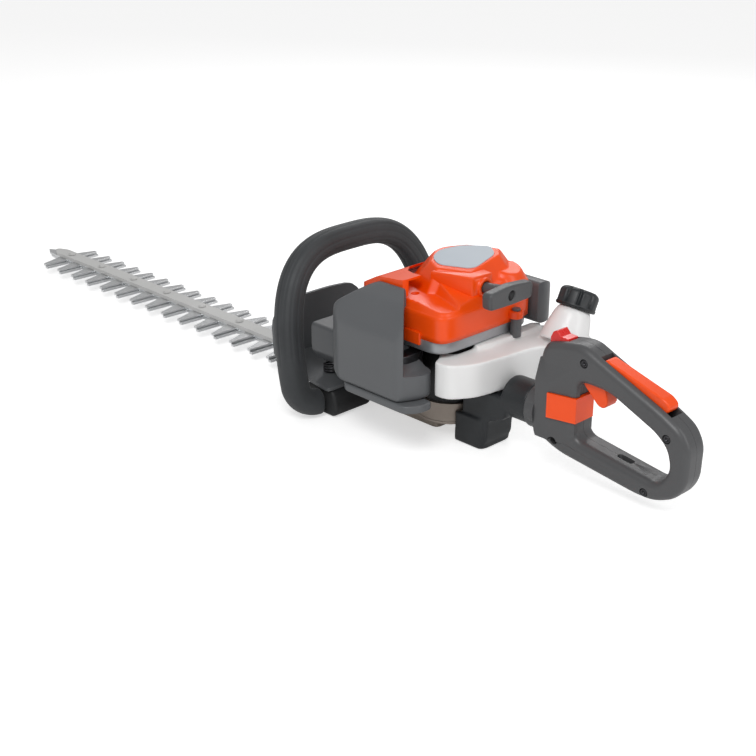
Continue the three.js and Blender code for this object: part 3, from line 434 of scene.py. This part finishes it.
def prism(axis, outline, low, high):
    """A bmesh extruded along an axis: (x, y) along z, (x, z) along y or (y, z) along x."""
    place = {
        "z": lambda p, h: (p[0], p[1], h),
        "y": lambda p, h: (p[0], h, p[1]),
        "x": lambda p, h: (h, p[0], p[1]),
    }[axis]
    work = bmesh.new()
    loops = [[work.verts.new(place(p, h)) for p in outline] for h in (low, high)]
    work.faces.new(loops[0])
    work.faces.new(loops[1])
    count = len(outline)
    for i in range(count):
        j = (i + 1) % count
        work.faces.new((loops[0][i], loops[0][j], loops[1][j], loops[1][i]))
    return work


def loft(rings, closed=True):
    """A bmesh through rings of W points; closed caps its first and last ring."""
    work = bmesh.new()
    loops = [[work.verts.new(point) for point in ring] for ring in rings]
    count = len(rings[0])
    for low, high in zip(loops, loops[1:]):
        for i in range(count):
            j = (i + 1) % count
            work.faces.new((low[i], low[j], high[j], high[i]))
    if closed:
        work.faces.new(loops[0])
        work.faces.new(loops[-1])
    return work


def rod(axis, at, low, high, radius, end=None, sides=40):
    """A cylinder along an axis through at, its other two coordinates, or a cone if end is given.

    radius is the radius at low, and end the radius at high.
    """
    end = radius if end is None else end
    turns = [2 * math.pi * i / sides for i in range(sides)]
    circle = [(math.cos(turn), math.sin(turn)) for turn in turns]
    place = {
        "z": lambda c, s, r, h: (at[0] + r * c, at[1] + r * s, h),
        "x": lambda c, s, r, h: (h, at[0] + r * c, at[1] + r * s),
        "y": lambda c, s, r, h: (at[0] + r * c, h, at[1] + r * s),
    }[axis]
    return loft([[place(c, s, r, h) for c, s in circle] for r, h in ((radius, low), (end, high))])


def turned(profile, axis_point, axis, sides=64, radius_at=None):
    """A lathe body: (radius, height) pairs turned round an axis; radius_at may vary the radius by angle."""
    up = Vector(axis).normalized()
    side = up.orthogonal().normalized()
    other = up.cross(side)
    rings = []
    for radius, height in profile:
        ring = []
        for i in range(sides):
            turn = 2 * math.pi * i / sides
            r = radius_at(radius, height, turn) if radius_at else radius
            way = side * math.cos(turn) + other * math.sin(turn)
            ring.append(Vector(axis_point) + way * r + up * height)
        rings.append(ring)
    return loft(rings)


def superellipse(z, reach, square, sides):
    """A level ring with four different reaches (front, rear, left, right) from X = Y = 0."""
    front, rear, left, right = reach
    ring = []
    for i in range(sides):
        turn = 2 * math.pi * (i + 0.5) / sides
        c, s = math.cos(turn), math.sin(turn)
        along = abs(c) / (front if c > 0 else rear)
        across = abs(s) / (left if s > 0 else right)
        r = (along**square + across**square) ** (-1 / square)
        ring.append((r * c, r * s, z))
    return ring


def merge(name, *things):
    """One object from several."""
    work = bmesh.new()
    for thing in things:
        work.from_mesh(thing.data)
        bpy.data.objects.remove(thing)
    mesh = bpy.data.meshes.new(name)
    work.to_mesh(mesh)
    work.free()
    joined = bpy.data.objects.new(name, mesh)
    bpy.context.scene.collection.objects.link(joined)
    return joined


def melt(thing, voxel, rounds):
    """Remeshes a piece with cells of voxel millimetres and softens its edges."""
    remesh = thing.modifiers.new("remesh", "REMESH")
    remesh.mode = "VOXEL"
    remesh.voxel_size = voxel * MM
    remesh.use_smooth_shade = True
    soften = thing.modifiers.new("soften", "SMOOTH")
    soften.factor = 0.5
    soften.iterations = rounds


def fuse(thing, voxel, rounds):
    """Melts a made piece's overlapping bodies into one skin."""
    melt(thing, voxel, rounds)
    apply_modifiers(thing)


def cover_with(thing, material):
    """Shades a piece smoothly and gives it one material."""
    for face in thing.data.polygons:
        face.use_smooth = True
    thing.data.materials.clear()
    thing.data.materials.append(MATERIALS[material])


def finish(thing, material, body, *nodes, crisp=None):
    """Gives a made piece its material, and puts it on its body in place of CAD nodes.

    Edges sharper than crisp degrees, when it is given, keep their edge in the shading.
    """
    cover_with(thing, material)
    if crisp:
        thing.data.set_sharp_from_angle(angle=math.radians(crisp))
    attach(thing, body)
    if nodes:
        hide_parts(*nodes)


def dress(node, material, width=0.6, segments=2, angle=32):
    """Keeps a CAD node: melts its flat facets together, rounds its edges and paints it."""
    thing = NODES[node]
    weld = thing.modifiers.new("weld", "WELD")
    weld.merge_threshold = 0.00002
    flatten = thing.modifiers.new("flatten", "DECIMATE")
    flatten.decimate_type = "DISSOLVE"
    flatten.angle_limit = math.radians(1)
    bevel(thing, width, segments, angle)
    cover_with(thing, material)


# ---------------------------------------------------------------- cutting gear


def make_cutting_gear():
    for node in ("upper_blade", "lower_blade"):
        dress(node, "blade_steel", 0.7, 2)
    dress("guide_bar", "bar_steel", 1.2, 3)
    for i in range(1, 9):
        dress(f"blade_bolt_{i}", "bar_steel", 0.6, 2)


# ---------------------------------------------------------------- front handle


LOOP_X = 131  # where the loop's plane meets W Z = 0
LOOP_LEAN = math.radians(12)  # forwards
LOOP_RADIUS = 15  # of the grip
LOOP_HALF_WIDTH = 124 - LOOP_RADIUS  # to the middle of the grip
LOOP_HEIGHT = 179 - LOOP_RADIUS
LOOP_SQUARE = 3.15  # exponent of the arch: 2 is an ellipse
FOOT_BEND = 26  # radius of the turn inwards at each foot
FOOT_STEPS = 9
GRIP_FROM, GRIP_TO = 0.12, 0.88  # the grooved stretch, as shares of the loop's length
GRIP_SQUARE = 2.5  # exponent of the grip's section: 2 is a circle
GROOVES, GROOVE_DEPTH = 12, 0.8


def loop_line():
    """The middle of the loop's grip, from the left foot over the arch to the right foot."""
    line = []
    low = (FLOOR + LOOP_RADIUS) / math.cos(LOOP_LEAN)

    def point(y, up):
        line.append(Vector((LOOP_X + math.sin(LOOP_LEAN) * up, y, math.cos(LOOP_LEAN) * up)))

    def foot(side, order):
        for k in order:
            turn = math.radians(90 * k / FOOT_STEPS)
            inwards = FOOT_BEND * (1 - math.sin(turn))
            point(side * (LOOP_HALF_WIDTH - inwards), low + FOOT_BEND * (1 - math.cos(turn)))

    foot(1, range(FOOT_STEPS))
    arch_steps = 180
    arch_start = 0.28  # radians above the level, where the arch follows on the foot
    for i in range(arch_steps + 1):
        turn = arch_start + (i / arch_steps) * (math.pi - 2 * arch_start)
        c, s = math.cos(turn), math.sin(turn)
        across = (abs(c) / LOOP_HALF_WIDTH) ** LOOP_SQUARE
        r = (across + (s / LOOP_HEIGHT) ** LOOP_SQUARE) ** (-1 / LOOP_SQUARE)
        point(r * c, r * s)
    foot(-1, reversed(range(FOOT_STEPS)))
    return line


def even_steps(line, steps):
    """Points at equal distances along a line."""
    lengths = [0.0]
    for a, b in zip(line, line[1:]):
        lengths.append(lengths[-1] + (b - a).length)
    even = []
    k = 0
    for i in range(steps + 1):
        want = lengths[-1] * i / steps
        while k < len(lengths) - 2 and lengths[k + 1] < want:
            k += 1
        t = (want - lengths[k]) / max(lengths[k + 1] - lengths[k], 1e-9)
        even.append(line[k].lerp(line[k + 1], t))
    return even


def make_front_handle():
    """The loop grip: a rounded-square arch swept with a section that has fine grooves along it."""
    steps, sides = 260, 72
    line = even_steps(loop_line(), steps)
    plane = Vector((math.cos(LOOP_LEAN), 0, -math.sin(LOOP_LEAN)))
    rings = []
    for i, at in enumerate(line):
        along = (line[min(i + 1, steps)] - line[max(i - 1, 0)]).normalized()
        out = plane.cross(along).normalized()
        share = i / steps
        # the grooves fade in and out at the grip's ends
        grip = min(1, max(0, (share - GRIP_FROM) * 30)) * min(1, max(0, (GRIP_TO - share) * 30))
        ring = []
        for n in range(sides):
            turn = 2 * math.pi * n / sides
            c, s = math.cos(turn), math.sin(turn)
            r = LOOP_RADIUS * (abs(c) ** GRIP_SQUARE + abs(s) ** GRIP_SQUARE) ** (-1 / GRIP_SQUARE) * 0.975
            r -= grip * GROOVE_DEPTH * max(0.0, math.cos(GROOVES * turn)) ** 6
            ring.append(at + (plane * c + out * s) * r)
        rings.append(ring)

    def closing(ring):
        centre = sum(ring, Vector()) / len(ring)
        return [centre + (p - centre) * 0.9 for p in ring]

    rings = [closing(rings[0])] + rings + [closing(rings[-1])]
    finish(new_object("loop_grip", loft(rings)), "grip_rubber", "chassis", "front_handle")


def make_front_parts():
    for node in ("handle_base_left", "handle_base_right"):
        dress(node, "black_rubber", 4, 4)
    dress("engine_bracket", "grey_plastic", 1.6, 3)
    dress("hand_guard", "grey_plastic", 1.5, 4)
    for node in ("av_spring_left", "av_spring_right"):
        dress(node, "dark_steel", 0.2, 1, 80)


# ---------------------------------------------------------------- covers


HOUSING_REACH = (60, 41, 65, 72)  # front, rear, left, right of the housing's top edge
HOUSING_LOW = 105.3  # bottom edge of the housing
DOME_HEIGHT = 173  # highest point of the dome, and the level that the label is drawn at


def smooth_max(values, reach):
    """The largest of the values, with the corner where two of them meet rounded over reach."""
    top = max(values)
    return top + math.log(sum(math.exp((v - top) / reach) for v in values)) * reach


def smooth_min(a, b, reach):
    return -smooth_max((-a, -b), reach)


def top_plane(x, y):
    """The dome's top: level at the far side, falling a little towards the rope boss."""
    return DOME_HEIGHT - 0.19 * max(0.0, 0.69 * (y + 26) - 0.72 * (x - 22))


def flank(x, y, a, b, slope):
    """A flat flank of the dome: it falls away to the right of the line from a to b."""
    along = (Vector(b) - Vector(a)).normalized()
    away = (x - a[0]) * along.y - (y - a[1]) * along.x
    return top_plane(x, y) - slope * away


# the top's sides, and how steeply the skin falls outside each of them
DOME_TOP = [
    ((37, -18), (37, -2), 1.5),
    ((37, -2), (24, 18), 1.3),
    ((24, 18), (9, 24), 1.8),
    ((9, 24), (-22, 5), 2.0),
    ((-22, 5), (-17, -44), 2.2),
    ((-17, -44), (-7, -55), 1.6),
    ((-7, -55), (26, -41), 1.3),
    ((26, -41), (37, -18), 1.4),
]
LABEL = [(33, -6), (28, 10), (13, 17), (-15, 0), (-18, -8), (-13, -42), (2, -51), (24, -34)]


def dome_height(x, y):
    """Height of the starter housing's skin above W Z = 0."""
    # the dome under the badge: steep flat flanks round a tilted top
    flanks = [-flank(x, y, a, b, slope) for a, b, slope in DOME_TOP]
    dome = -smooth_max(flanks + [-top_plane(x, y)], 1.2)
    # the bulge at the right rear, over the air intake
    reach = math.hypot((x + 20) * 0.95, (y + 52) * 0.92)
    crown = 158 - 0.3 * max(0.0, -x - 16)
    bulge = smooth_min(crown, crown - 1.7 * (reach - 15), 1.0)
    # the deck round the dome, with a straight chamfer along the cover's edge
    deck = 141.5 - 0.09 * max(0.0, -x) - 0.04 * abs(y)
    # a raised wedge runs from the rope boss to the left rear corner
    along = (x + 10) * -0.95 + (y - 20) * 0.3
    aside = (x + 10) * 0.3 + (y - 20) * 0.95
    wedge = 149 - 0.3 * along - 1.8 * max(0.0, aside - 9) - 3 * max(0.0, -8 - along)
    front, rear, left, right = HOUSING_REACH
    across = abs(y) / (left if y > 0 else right)
    lengthwise = abs(x) / (front if x > 0 else rear)
    inside = 1 - (across**8 + lengthwise**8) ** (1 / 8)
    chamfer = 132.5 + inside * 75
    lower = smooth_min(smooth_max((deck, wedge), 0.4), chamfer, 0.4)
    return smooth_max((dome, bulge, lower), 0.7)


SKIN_RINGS = 70  # rings of faces from the middle to the rim
SKIN_FILLET = 5.0  # of the rolled edge


def skin(name, rim, height_at, low, wall):
    """A moulded cover: its plan is the rim's outline, its top is height_at(x, y), its walls drop to low."""
    work = bmesh.new()
    centre = Vector((0, 0))
    loops = []
    for step in range(1, SKIN_RINGS + 1):
        share = step / SKIN_RINGS
        loop = []
        for point in rim:
            flat = centre.lerp(Vector(point), share)
            loop.append((flat.x, flat.y, height_at(flat.x, flat.y)))
        loops.append(loop)
    # the rolled edge, then the wall
    edge = []
    for turn in range(1, 7):
        a = math.radians(15 * turn)
        loop = []
        for point in rim:
            away = (Vector(point) - centre).normalized()
            flat = Vector(point) + away * SKIN_FILLET * math.sin(a) * 0.35
            loop.append((flat.x, flat.y, height_at(*point) - SKIN_FILLET * (1 - math.cos(a))))
        edge.append(loop)
    loops += edge
    outer = [Vector(p[:2]) for p in edge[-1]]
    tops = [p[2] for p in edge[-1]]
    for share in (0.25, 0.5, 0.75, 1.0):
        loops.append([(p.x, p.y, top + (low - top) * share) for p, top in zip(outer, tops)])
    inner = [centre + (p - centre) * (1 - wall / max((p - centre).length, 1)) for p in outer]
    loops.append([(p.x, p.y, low) for p in inner])
    loops.append([(p.x, p.y, low + 6) for p in inner])
    verts = [[work.verts.new(p) for p in loop] for loop in loops]
    top = work.verts.new((*centre, height_at(*centre)))
    count = len(rim)
    for i in range(count):
        work.faces.new((top, verts[0][i], verts[0][(i + 1) % count]))
    for a, b in zip(verts, verts[1:]):
        for i in range(count):
            j = (i + 1) % count
            work.faces.new((a[i], b[i], b[j], a[j]))
    work.faces.new(list(reversed(verts[-1])))
    return new_object(name, work)


def make_starter_housing():
    """The orange cover over the starter, with the rope's boss, a lug and a tab in one piece."""
    rim = [p[:2] for p in superellipse(0, HOUSING_REACH, 8, sides=280)]
    housing = skin("starter_shell", rim, dome_height, HOUSING_LOW, 2.5)
    boss = new_object("boss", rod("x", (0, ROPE_HEIGHT), -38.5, -8, 10, 10.6, 56))
    rounded_off(boss, 1.4, 3)
    saddle_plan = [(12, 30), (-34, 15.5), (-35.5, -13), (12, -20)]
    saddle = new_object("saddle", prism("z", saddle_plan, 134, 162.5))
    rounded_off(saddle, 1.8, 3)
    boolean(boss, saddle, "UNION")
    hole = new_object("hole", rod("x", (0, ROPE_HEIGHT), -42, -24, 7))
    tab = new_object("tab", prism("z", [(10, 62), (10, 69.3), (-12, 69.3), (-12, 62)], 98.5, 112))
    rounded_off(tab, 0.8, 2)
    boolean(housing, new_object("vent", rod("z", (20, 43), 116, 150, 4.5, sides=32)))
    lug_plan = [(-36, -32), (-36, -48), (-47, -48), (-53, -44), (-53, -36), (-47, -32)]
    lug = new_object("lug", prism("z", rounded(lug_plan, 5), 109.5, 117.5))
    rounded_off(lug, 1, 3)
    boolean(boss, hole)
    shell = merge("starter_shell_all", housing, boss, lug, tab)
    finish(shell, "orange_plastic", "chassis", "starter_housing")
    shell.name = "starter_cover"


BAND_REACH = (87, 40, 67, 74)  # front, rear, left, right of the silver frame
BAND_SIDES = 200
# (height, how far out of BAND_REACH) round the band's section: up the outside, down the inside
BAND_OUTSIDE = [(92, -3), (92.3, -1.6), (93.4, -0.5), (95, 0), (104, 0), (104.7, -0.3), (105, -1.2)]
BAND_INSIDE = [(105, -5), (92, -6)]


def make_silver_frame():
    section = BAND_OUTSIDE + BAND_INSIDE
    rings = [superellipse(z, [r + out for r in BAND_REACH], 5.6, sides=BAND_SIDES) for z, out in section]
    work = loft(rings, closed=False)
    work.verts.ensure_lookup_table()
    last = (len(rings) - 1) * BAND_SIDES
    for i in range(BAND_SIDES):
        j = (i + 1) % BAND_SIDES
        work.faces.new((work.verts[last + i], work.verts[last + j], work.verts[j], work.verts[i]))
    finish(new_object("silver_band", work), "silver_frame", "chassis", "cover_frame")


def make_label():
    """The blank badge, drawn level and then laid on the dome's tilted top."""
    film = prism("z", rounded(LABEL, 7, 6), DOME_HEIGHT - 1.5, DOME_HEIGHT + 1)
    for vertex in film.verts:
        vertex.co.z += top_plane(vertex.co.x, vertex.co.y) - DOME_HEIGHT
    label = new_object("badge", film)
    rounded_off(label, 0.5, 2)
    finish(label, "label", "chassis", "label_plate")


# the muffler cover's plan, and the planes that cut its block: a point on each and its normal
MUFFLER_PLAN = [(-29, 64), (-29, 82), (-18, 106), (71, 106), (91, 94), (95, 64)]
MUFFLER_CUTS = {
    "shoulder": ((40, 105, 115), (0, 1.74, 1)),
    "sloping top": ((10, 62, 157), (0, 0.53, 1)),
    "sloping front": ((89, 79, 126), (0.7, 0, 1)),
}


def make_muffler_cover():
    body = new_object("muffler_shell", prism("z", MUFFLER_PLAN, 45, 166))
    for at, normal in MUFFLER_CUTS.values():
        slice_off(body, at, normal, "outer")
    fuse(body, 2.0, 80)
    # the left rear corner is cut away above a falling edge
    side_plan = [(12, 67), (12 - 0.97 * 60, 67 + 60), (-80, 127), (-80, 40), (12, 40)]
    free_side = new_object("free_side", prism("z", side_plan, 60, 190))
    side_view = [(60, 97), (12, 92), (-16, 76), (-60, 68), (-60, 200), (60, 200)]
    above = new_object("above", prism("y", side_view, 30, 140))
    boolean(free_side, above, "INTERSECT")
    boolean(body, free_side)
    rounded_off(body, 1.6, 3, 40)
    lip_plan = [(-37, 74), (-37, 92), (-27, 106), (60, 106), (74, 92), (74, 74)]
    lip = new_object("lip", prism("z", rounded(lip_plan, 6), 38, 46.5))
    rounded_off(lip, 2, 3)
    finish(merge("muffler_casing", body, lip), "grey_plastic", "chassis", "muffler_cover")


def make_covers():
    make_starter_housing()
    make_silver_frame()
    dress("front_cover", "orange_plastic", 2.2, 3)
    make_label()
    dress("cover_screw", "grey_plastic", 0.8, 3)
    make_muffler_cover()
    dress("muffler", "dark_steel", 1.5, 2)


# ---------------------------------------------------------------- fuel


CAP_AT = (-86, -86, 118)  # the middle of the neck's top
CAP_LEAN = math.radians(27)  # towards the machine's right
CAP_AXIS = (0, -math.sin(CAP_LEAN), math.cos(CAP_LEAN))


NECK_PROFILE = [(26, -38), (24, -24), (19.5, -6), (17.5, -1.5), (16.8, 0)]
TANK_PLAN = [
    (-17, 44),
    (-29, 58),
    (-34, 71),
    (-53, 68),
    (-68, 44),
    (-74, 6),
    (-78, -36),
    (-104, -66),
    (-107, -92),
    (-92, -106),
    (-60, -108),
    (-34, -84),
    (-34, 40),
]
TANK_SHELF = [(-34, 14), (-45, 16), (-47, -30), (-50, -70), (-44, -86), (-34, -80)]
CAP_PROFILE = [
    (13.3, 0.3),
    (20.2, 0.3),
    (21.4, 1.2),
    (21.4, 3.4),
    (20.8, 4.2),
    (20.8, 15.6),
    (20.2, 17.6),
    (18.6, 19.4),
    (16.0, 20.8),
    (14.0, 21),
    (12.2, 20.6),
    (11.6, 19.8),
    (3, 19.6),
    (0.2, 19.6),
]
CAP_NOTCHES, NOTCH_DEPTH = 9, 3.2


def make_fuel():
    body = new_object("tank_body", prism("z", rounded(TANK_PLAN, 9, 7), 50, 87))
    neck = new_object("neck", turned(NECK_PROFILE, CAP_AT, CAP_AXIS))
    spout = new_object("spout", turned([(13, -3), (13, 8)], CAP_AT, CAP_AXIS))
    shelf = new_object("shelf", prism("z", rounded(TANK_SHELF, 8, 5), 52, 91.5))
    tank = merge("tank_skin", body, shelf, neck, spout)
    fuse(tank, 1.5, 9)
    finish(tank, "tank_plastic", "chassis", "fuel_tank")

    def notched(radius, height, turn):
        """The cap's side is notched between its rim and its top."""
        notch = max(0.0, math.cos(CAP_NOTCHES * turn)) ** 3
        return radius - NOTCH_DEPTH * notch if radius > 16 and 4 < height < 19.5 else radius

    cap = new_object("cap", turned(CAP_PROFILE, CAP_AT, CAP_AXIS, 160, notched))
    finish(cap, "dark_plastic", "fuel_cap", "fuel_cap")


# ---------------------------------------------------------------- rear handle


def make_rear_bracket():
    """The bracket under the clutch end: its CAD node, with its edges softened like a moulding's."""
    melt(NODES["rear_bracket"], 1.1, 26)
    cover_with(NODES["rear_bracket"], "dark_plastic")


HANDLE_OUTSIDE = [
    (-124, 20),
    (-124, 108),
    (-130, 120),
    (-152, 126),
    (-174, 129),
    (-196, 119),
    (-268, 89),
    (-290, 77),
    (-300, 60),
    (-299, 24),
    (-288, 7),
    (-266, -3),
    (-244, -3),
    (-150, 9),
]
HAND_OPENING = [(-170, 30), (-171, 91), (-207, 90), (-262, 66), (-275, 55), (-281, 34), (-268, 16)]
SCREW_SPOTS = ((-178, 112), (-276, 66), (-256, 4))  # X and Z of the handle's screws
SEAT_RADIUS = 4.6  # of the round holes in the handle's sides
# the faceted block at the handle's front: its plan, and its section across the machine
BLOCK_PLAN = [(-124, -21), (-142, -21), (-170, -14), (-170, 14), (-142, 21), (-124, 21)]
BLOCK_SECTION = [(-22, 18), (22, 18), (22, 80), (14.5, 104), (-14.5, 104), (-22, 80)]
COLLAR_PROFILE = [(19, 0), (22.4, 0), (23.5, 1.2), (23.5, 12)]
LOCKOUT_CUT = [(-192, 140), (-192, 105), (-262, 72), (-275, 79), (-275, 140)]
TRIGGER_CUT = [(-215, 60), (-215, 106), (-168, 106), (-168, 60)]
SWITCH_CUT = [(-154, -8.4), (-128.5, -8.4), (-128.5, 8.4), (-154, 8.4)]
LOWER_SLOT = [(-232, -4), (-232, 4), (-214, 4), (-214, -4)]
LATCH_CUT = [(-174, -12.3), (-174, 30), (-140.7, 30), (-140.7, 17.5), (-166, 11.2), (-166, -12.3)]


def handle_body():
    """The whole rear handle as one body, before it is parted into its two shells."""
    whole = new_object("outside", prism("y", rounded(HANDLE_OUTSIDE, 14, 8), -16, 16))
    boolean(whole, new_object("hand", prism("y", rounded(HAND_OPENING, 11, 8), -60, 60)))
    rounded_off(whole, 7.5, 6, 40)
    block = new_object("block", prism("z", BLOCK_PLAN, 22, 106))
    trim = new_object("trim", prism("y", rounded(HANDLE_OUTSIDE, 14, 8), -60, 60))
    boolean(block, trim, "INTERSECT")
    boolean(block, new_object("taper", prism("x", BLOCK_SECTION, -180, -110)), "INTERSECT")
    rounded_off(block, 1.4, 3, 18)
    collar = new_object("collar", turned(COLLAR_PROFILE, (-112, 0, 45), (-1, 0, 0), 72))
    boolean(whole, block, "UNION")
    boolean(whole, collar, "UNION")
    cuts = [
        prism("y", rounded(LOCKOUT_CUT, 3, 3), -8.4, 8.4),
        prism("y", TRIGGER_CUT, -9, 9),
        prism("z", SWITCH_CUT, 117, 150),
        rod("y", (-147, 22), 10, 30, SEAT_RADIUS, sides=32),
        prism("z", rounded(LOWER_SLOT, 3.5, 4), -20, 40),
    ]
    for at in SCREW_SPOTS:
        cuts.append(rod("y", at, 13, 30, SEAT_RADIUS))
        cuts.append(rod("y", at, -30, -13, SEAT_RADIUS))
    cuts.append(prism("z", LATCH_CUT, 46.7, 73.3))
    for cut in cuts:
        boolean(whole, new_object("cutter", cut))
    return whole


def make_rear_handle():
    whole = handle_body()
    halves = []
    for name, side in (("handle_shell_left", 1), ("handle_shell_right", -1)):
        half = bpy.data.objects.new(name, whole.data.copy())
        bpy.context.scene.collection.objects.link(half)
        slice_off(half, (0, 0.15 * side, 0), (0, side, 0), "inner")
        halves.append(half)
    bpy.data.objects.remove(whole)
    for half, node in zip(halves, ("rear_handle_left", "rear_handle_right")):
        rounded_off(half, 0.35, 2, 50)
        finish(half, "handle_plastic", "rear_handle", node, crisp=24)
    for i, at in enumerate(SCREW_SPOTS, 1):
        head = new_object("head", rod("y", at, 12, 15.6, 4.1, 3.7, 48))
        rounded_off(head, 0.4, 3)
        boolean(head, new_object("socket", rod("y", at, 13.6, 18, 1.9, sides=6)))
        shank = new_object("shank", rod("y", at, -13, 12.5, 2, sides=24))
        screw = merge(f"socket_screw_{i}", head, shank)
        finish(screw, "dark_steel", "rear_handle", f"handle_screw_{i}")


def make_controls():
    dress("throttle_trigger", "orange_plastic", 1.6, 4, 30)
    dress("throttle_lockout", "orange_plastic", 1.8, 4, 30)
    dress("stop_switch", "red_plastic", 1.2, 3, 20)
    dress("swivel_lock", "orange_plastic", 0.8, 3, 15)


# ---------------------------------------------------------------- starter grip


GRIP_SECTION = [(-32, 140.5), (0, 139.5), (32, 140.5), (33, 158), (0, 161), (-33, 158)]
GRIP_NECK = [(9.5, -64), (7.6, -56), (6.2, -46), (5.6, -37)]


def make_starter_grip():
    rope_line = (0, ROPE_HEIGHT)
    bar = new_object("bar", prism("x", rounded(GRIP_SECTION, 5, 6), -73, -61))
    rounded_off(bar, 2.5, 4)
    neck = new_object("neck", turned(GRIP_NECK, (0, 0, ROPE_HEIGHT), (1, 0, 0), 48))
    grip = merge("grip", bar, neck)
    fuse(grip, 0.7, 5)
    boolean(grip, new_object("dimple", rod("x", rope_line, -78, -70, 5.6)))
    finish(grip, "handle_plastic", "starter_handle", "starter_handle")
    grip.name = "starter_grip"
    plug = new_object("grip_plug", rod("x", rope_line, -71.4, -69.8, 5.4, 4.8))
    finish(plug, "black_rubber", "starter_handle")
    # a short stretch of rope in the boss's hole; it stays put and rides on no body
    rope = new_object("rope", rod("x", rope_line, -42, -17.5, 1.9, sides=16))
    cover_with(rope, "black_rubber")
    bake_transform(rope)


# ---------------------------------------------------------------- the rest


def make_engine():
    for node, material, width in (
        ("main_gear", "dark_steel", 0.3),
        ("clutch_drum", "dark_steel", 0.4),
        ("clutch_shoes", "dark_steel", 0.5),
        ("crank_lower", "bright_steel", 0.5),
        ("crank_upper", "bright_steel", 0.5),
        ("connecting_rod", "bright_steel", 0.5),
        ("piston", "cast_alloy", 0.4),
        # the cylinder and crankcase get the near-black alloy colour, painted shade for the dark gap under
        # the silver frame
        ("cylinder", "painted_shade_alloy", 0.4),
        ("crankcase", "painted_shade_alloy", 1.0),
        ("gear_case", "cast_alloy", 1.5),
        ("gear_case_cover", "cast_alloy", 1.5),
        ("flywheel", "cast_alloy", 0.5),
        ("ignition_coil", "dark_plastic", 1.5),
        ("spark_plug", "ceramic", 0.5),
        ("carburetor", "cast_alloy", 1.5),
        ("air_filter", "filter_paper", 1.0),
        ("choke_lever", "orange_plastic", 1.0),
        ("primer_bulb", "black_rubber", 1.0),
        ("starter_reel", "dark_plastic", 0.5),
        ("recoil_spring", "dark_steel", 0.3),
    ):
        dress(node, material, width)


FILTER_SECTION = [(-75.5, 93), (-100, 93), (-104, 120), (-98, 134), (-88, 139), (-75.5, 139)]
FILTER_PLAN = [(-44, -70), (-48, -88), (-38, -106), (58, -106), (66, -88), (64, -70)]


def make_filter_cover():
    """The closed grey casing of the air filter on the right side."""
    casing = new_object("filter_casing", prism("x", rounded(FILTER_SECTION, 6), -48, 66))
    plan = new_object("plan", prism("z", rounded(FILTER_PLAN, 9, 8), 80, 150))
    boolean(casing, plan, "INTERSECT")
    rounded_off(casing, 3.5, 5, 22)
    boolean(casing, new_object("recess", rod("y", (6, 112), -112, -98, 4.4)))
    finish(casing, "grey_plastic", "chassis", "air_filter_cover")


make_camera()
make_studio()
make_cutting_gear()
make_front_handle()
make_front_parts()
make_covers()
make_fuel()
make_rear_bracket()
make_rear_handle()
make_controls()
make_starter_grip()
make_engine()
make_filter_cover()

plain = lambda pair: [list(map(float, corner)) for corner in pair]
{"cad": plain(cad_bounds), "visual": plain(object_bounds())}
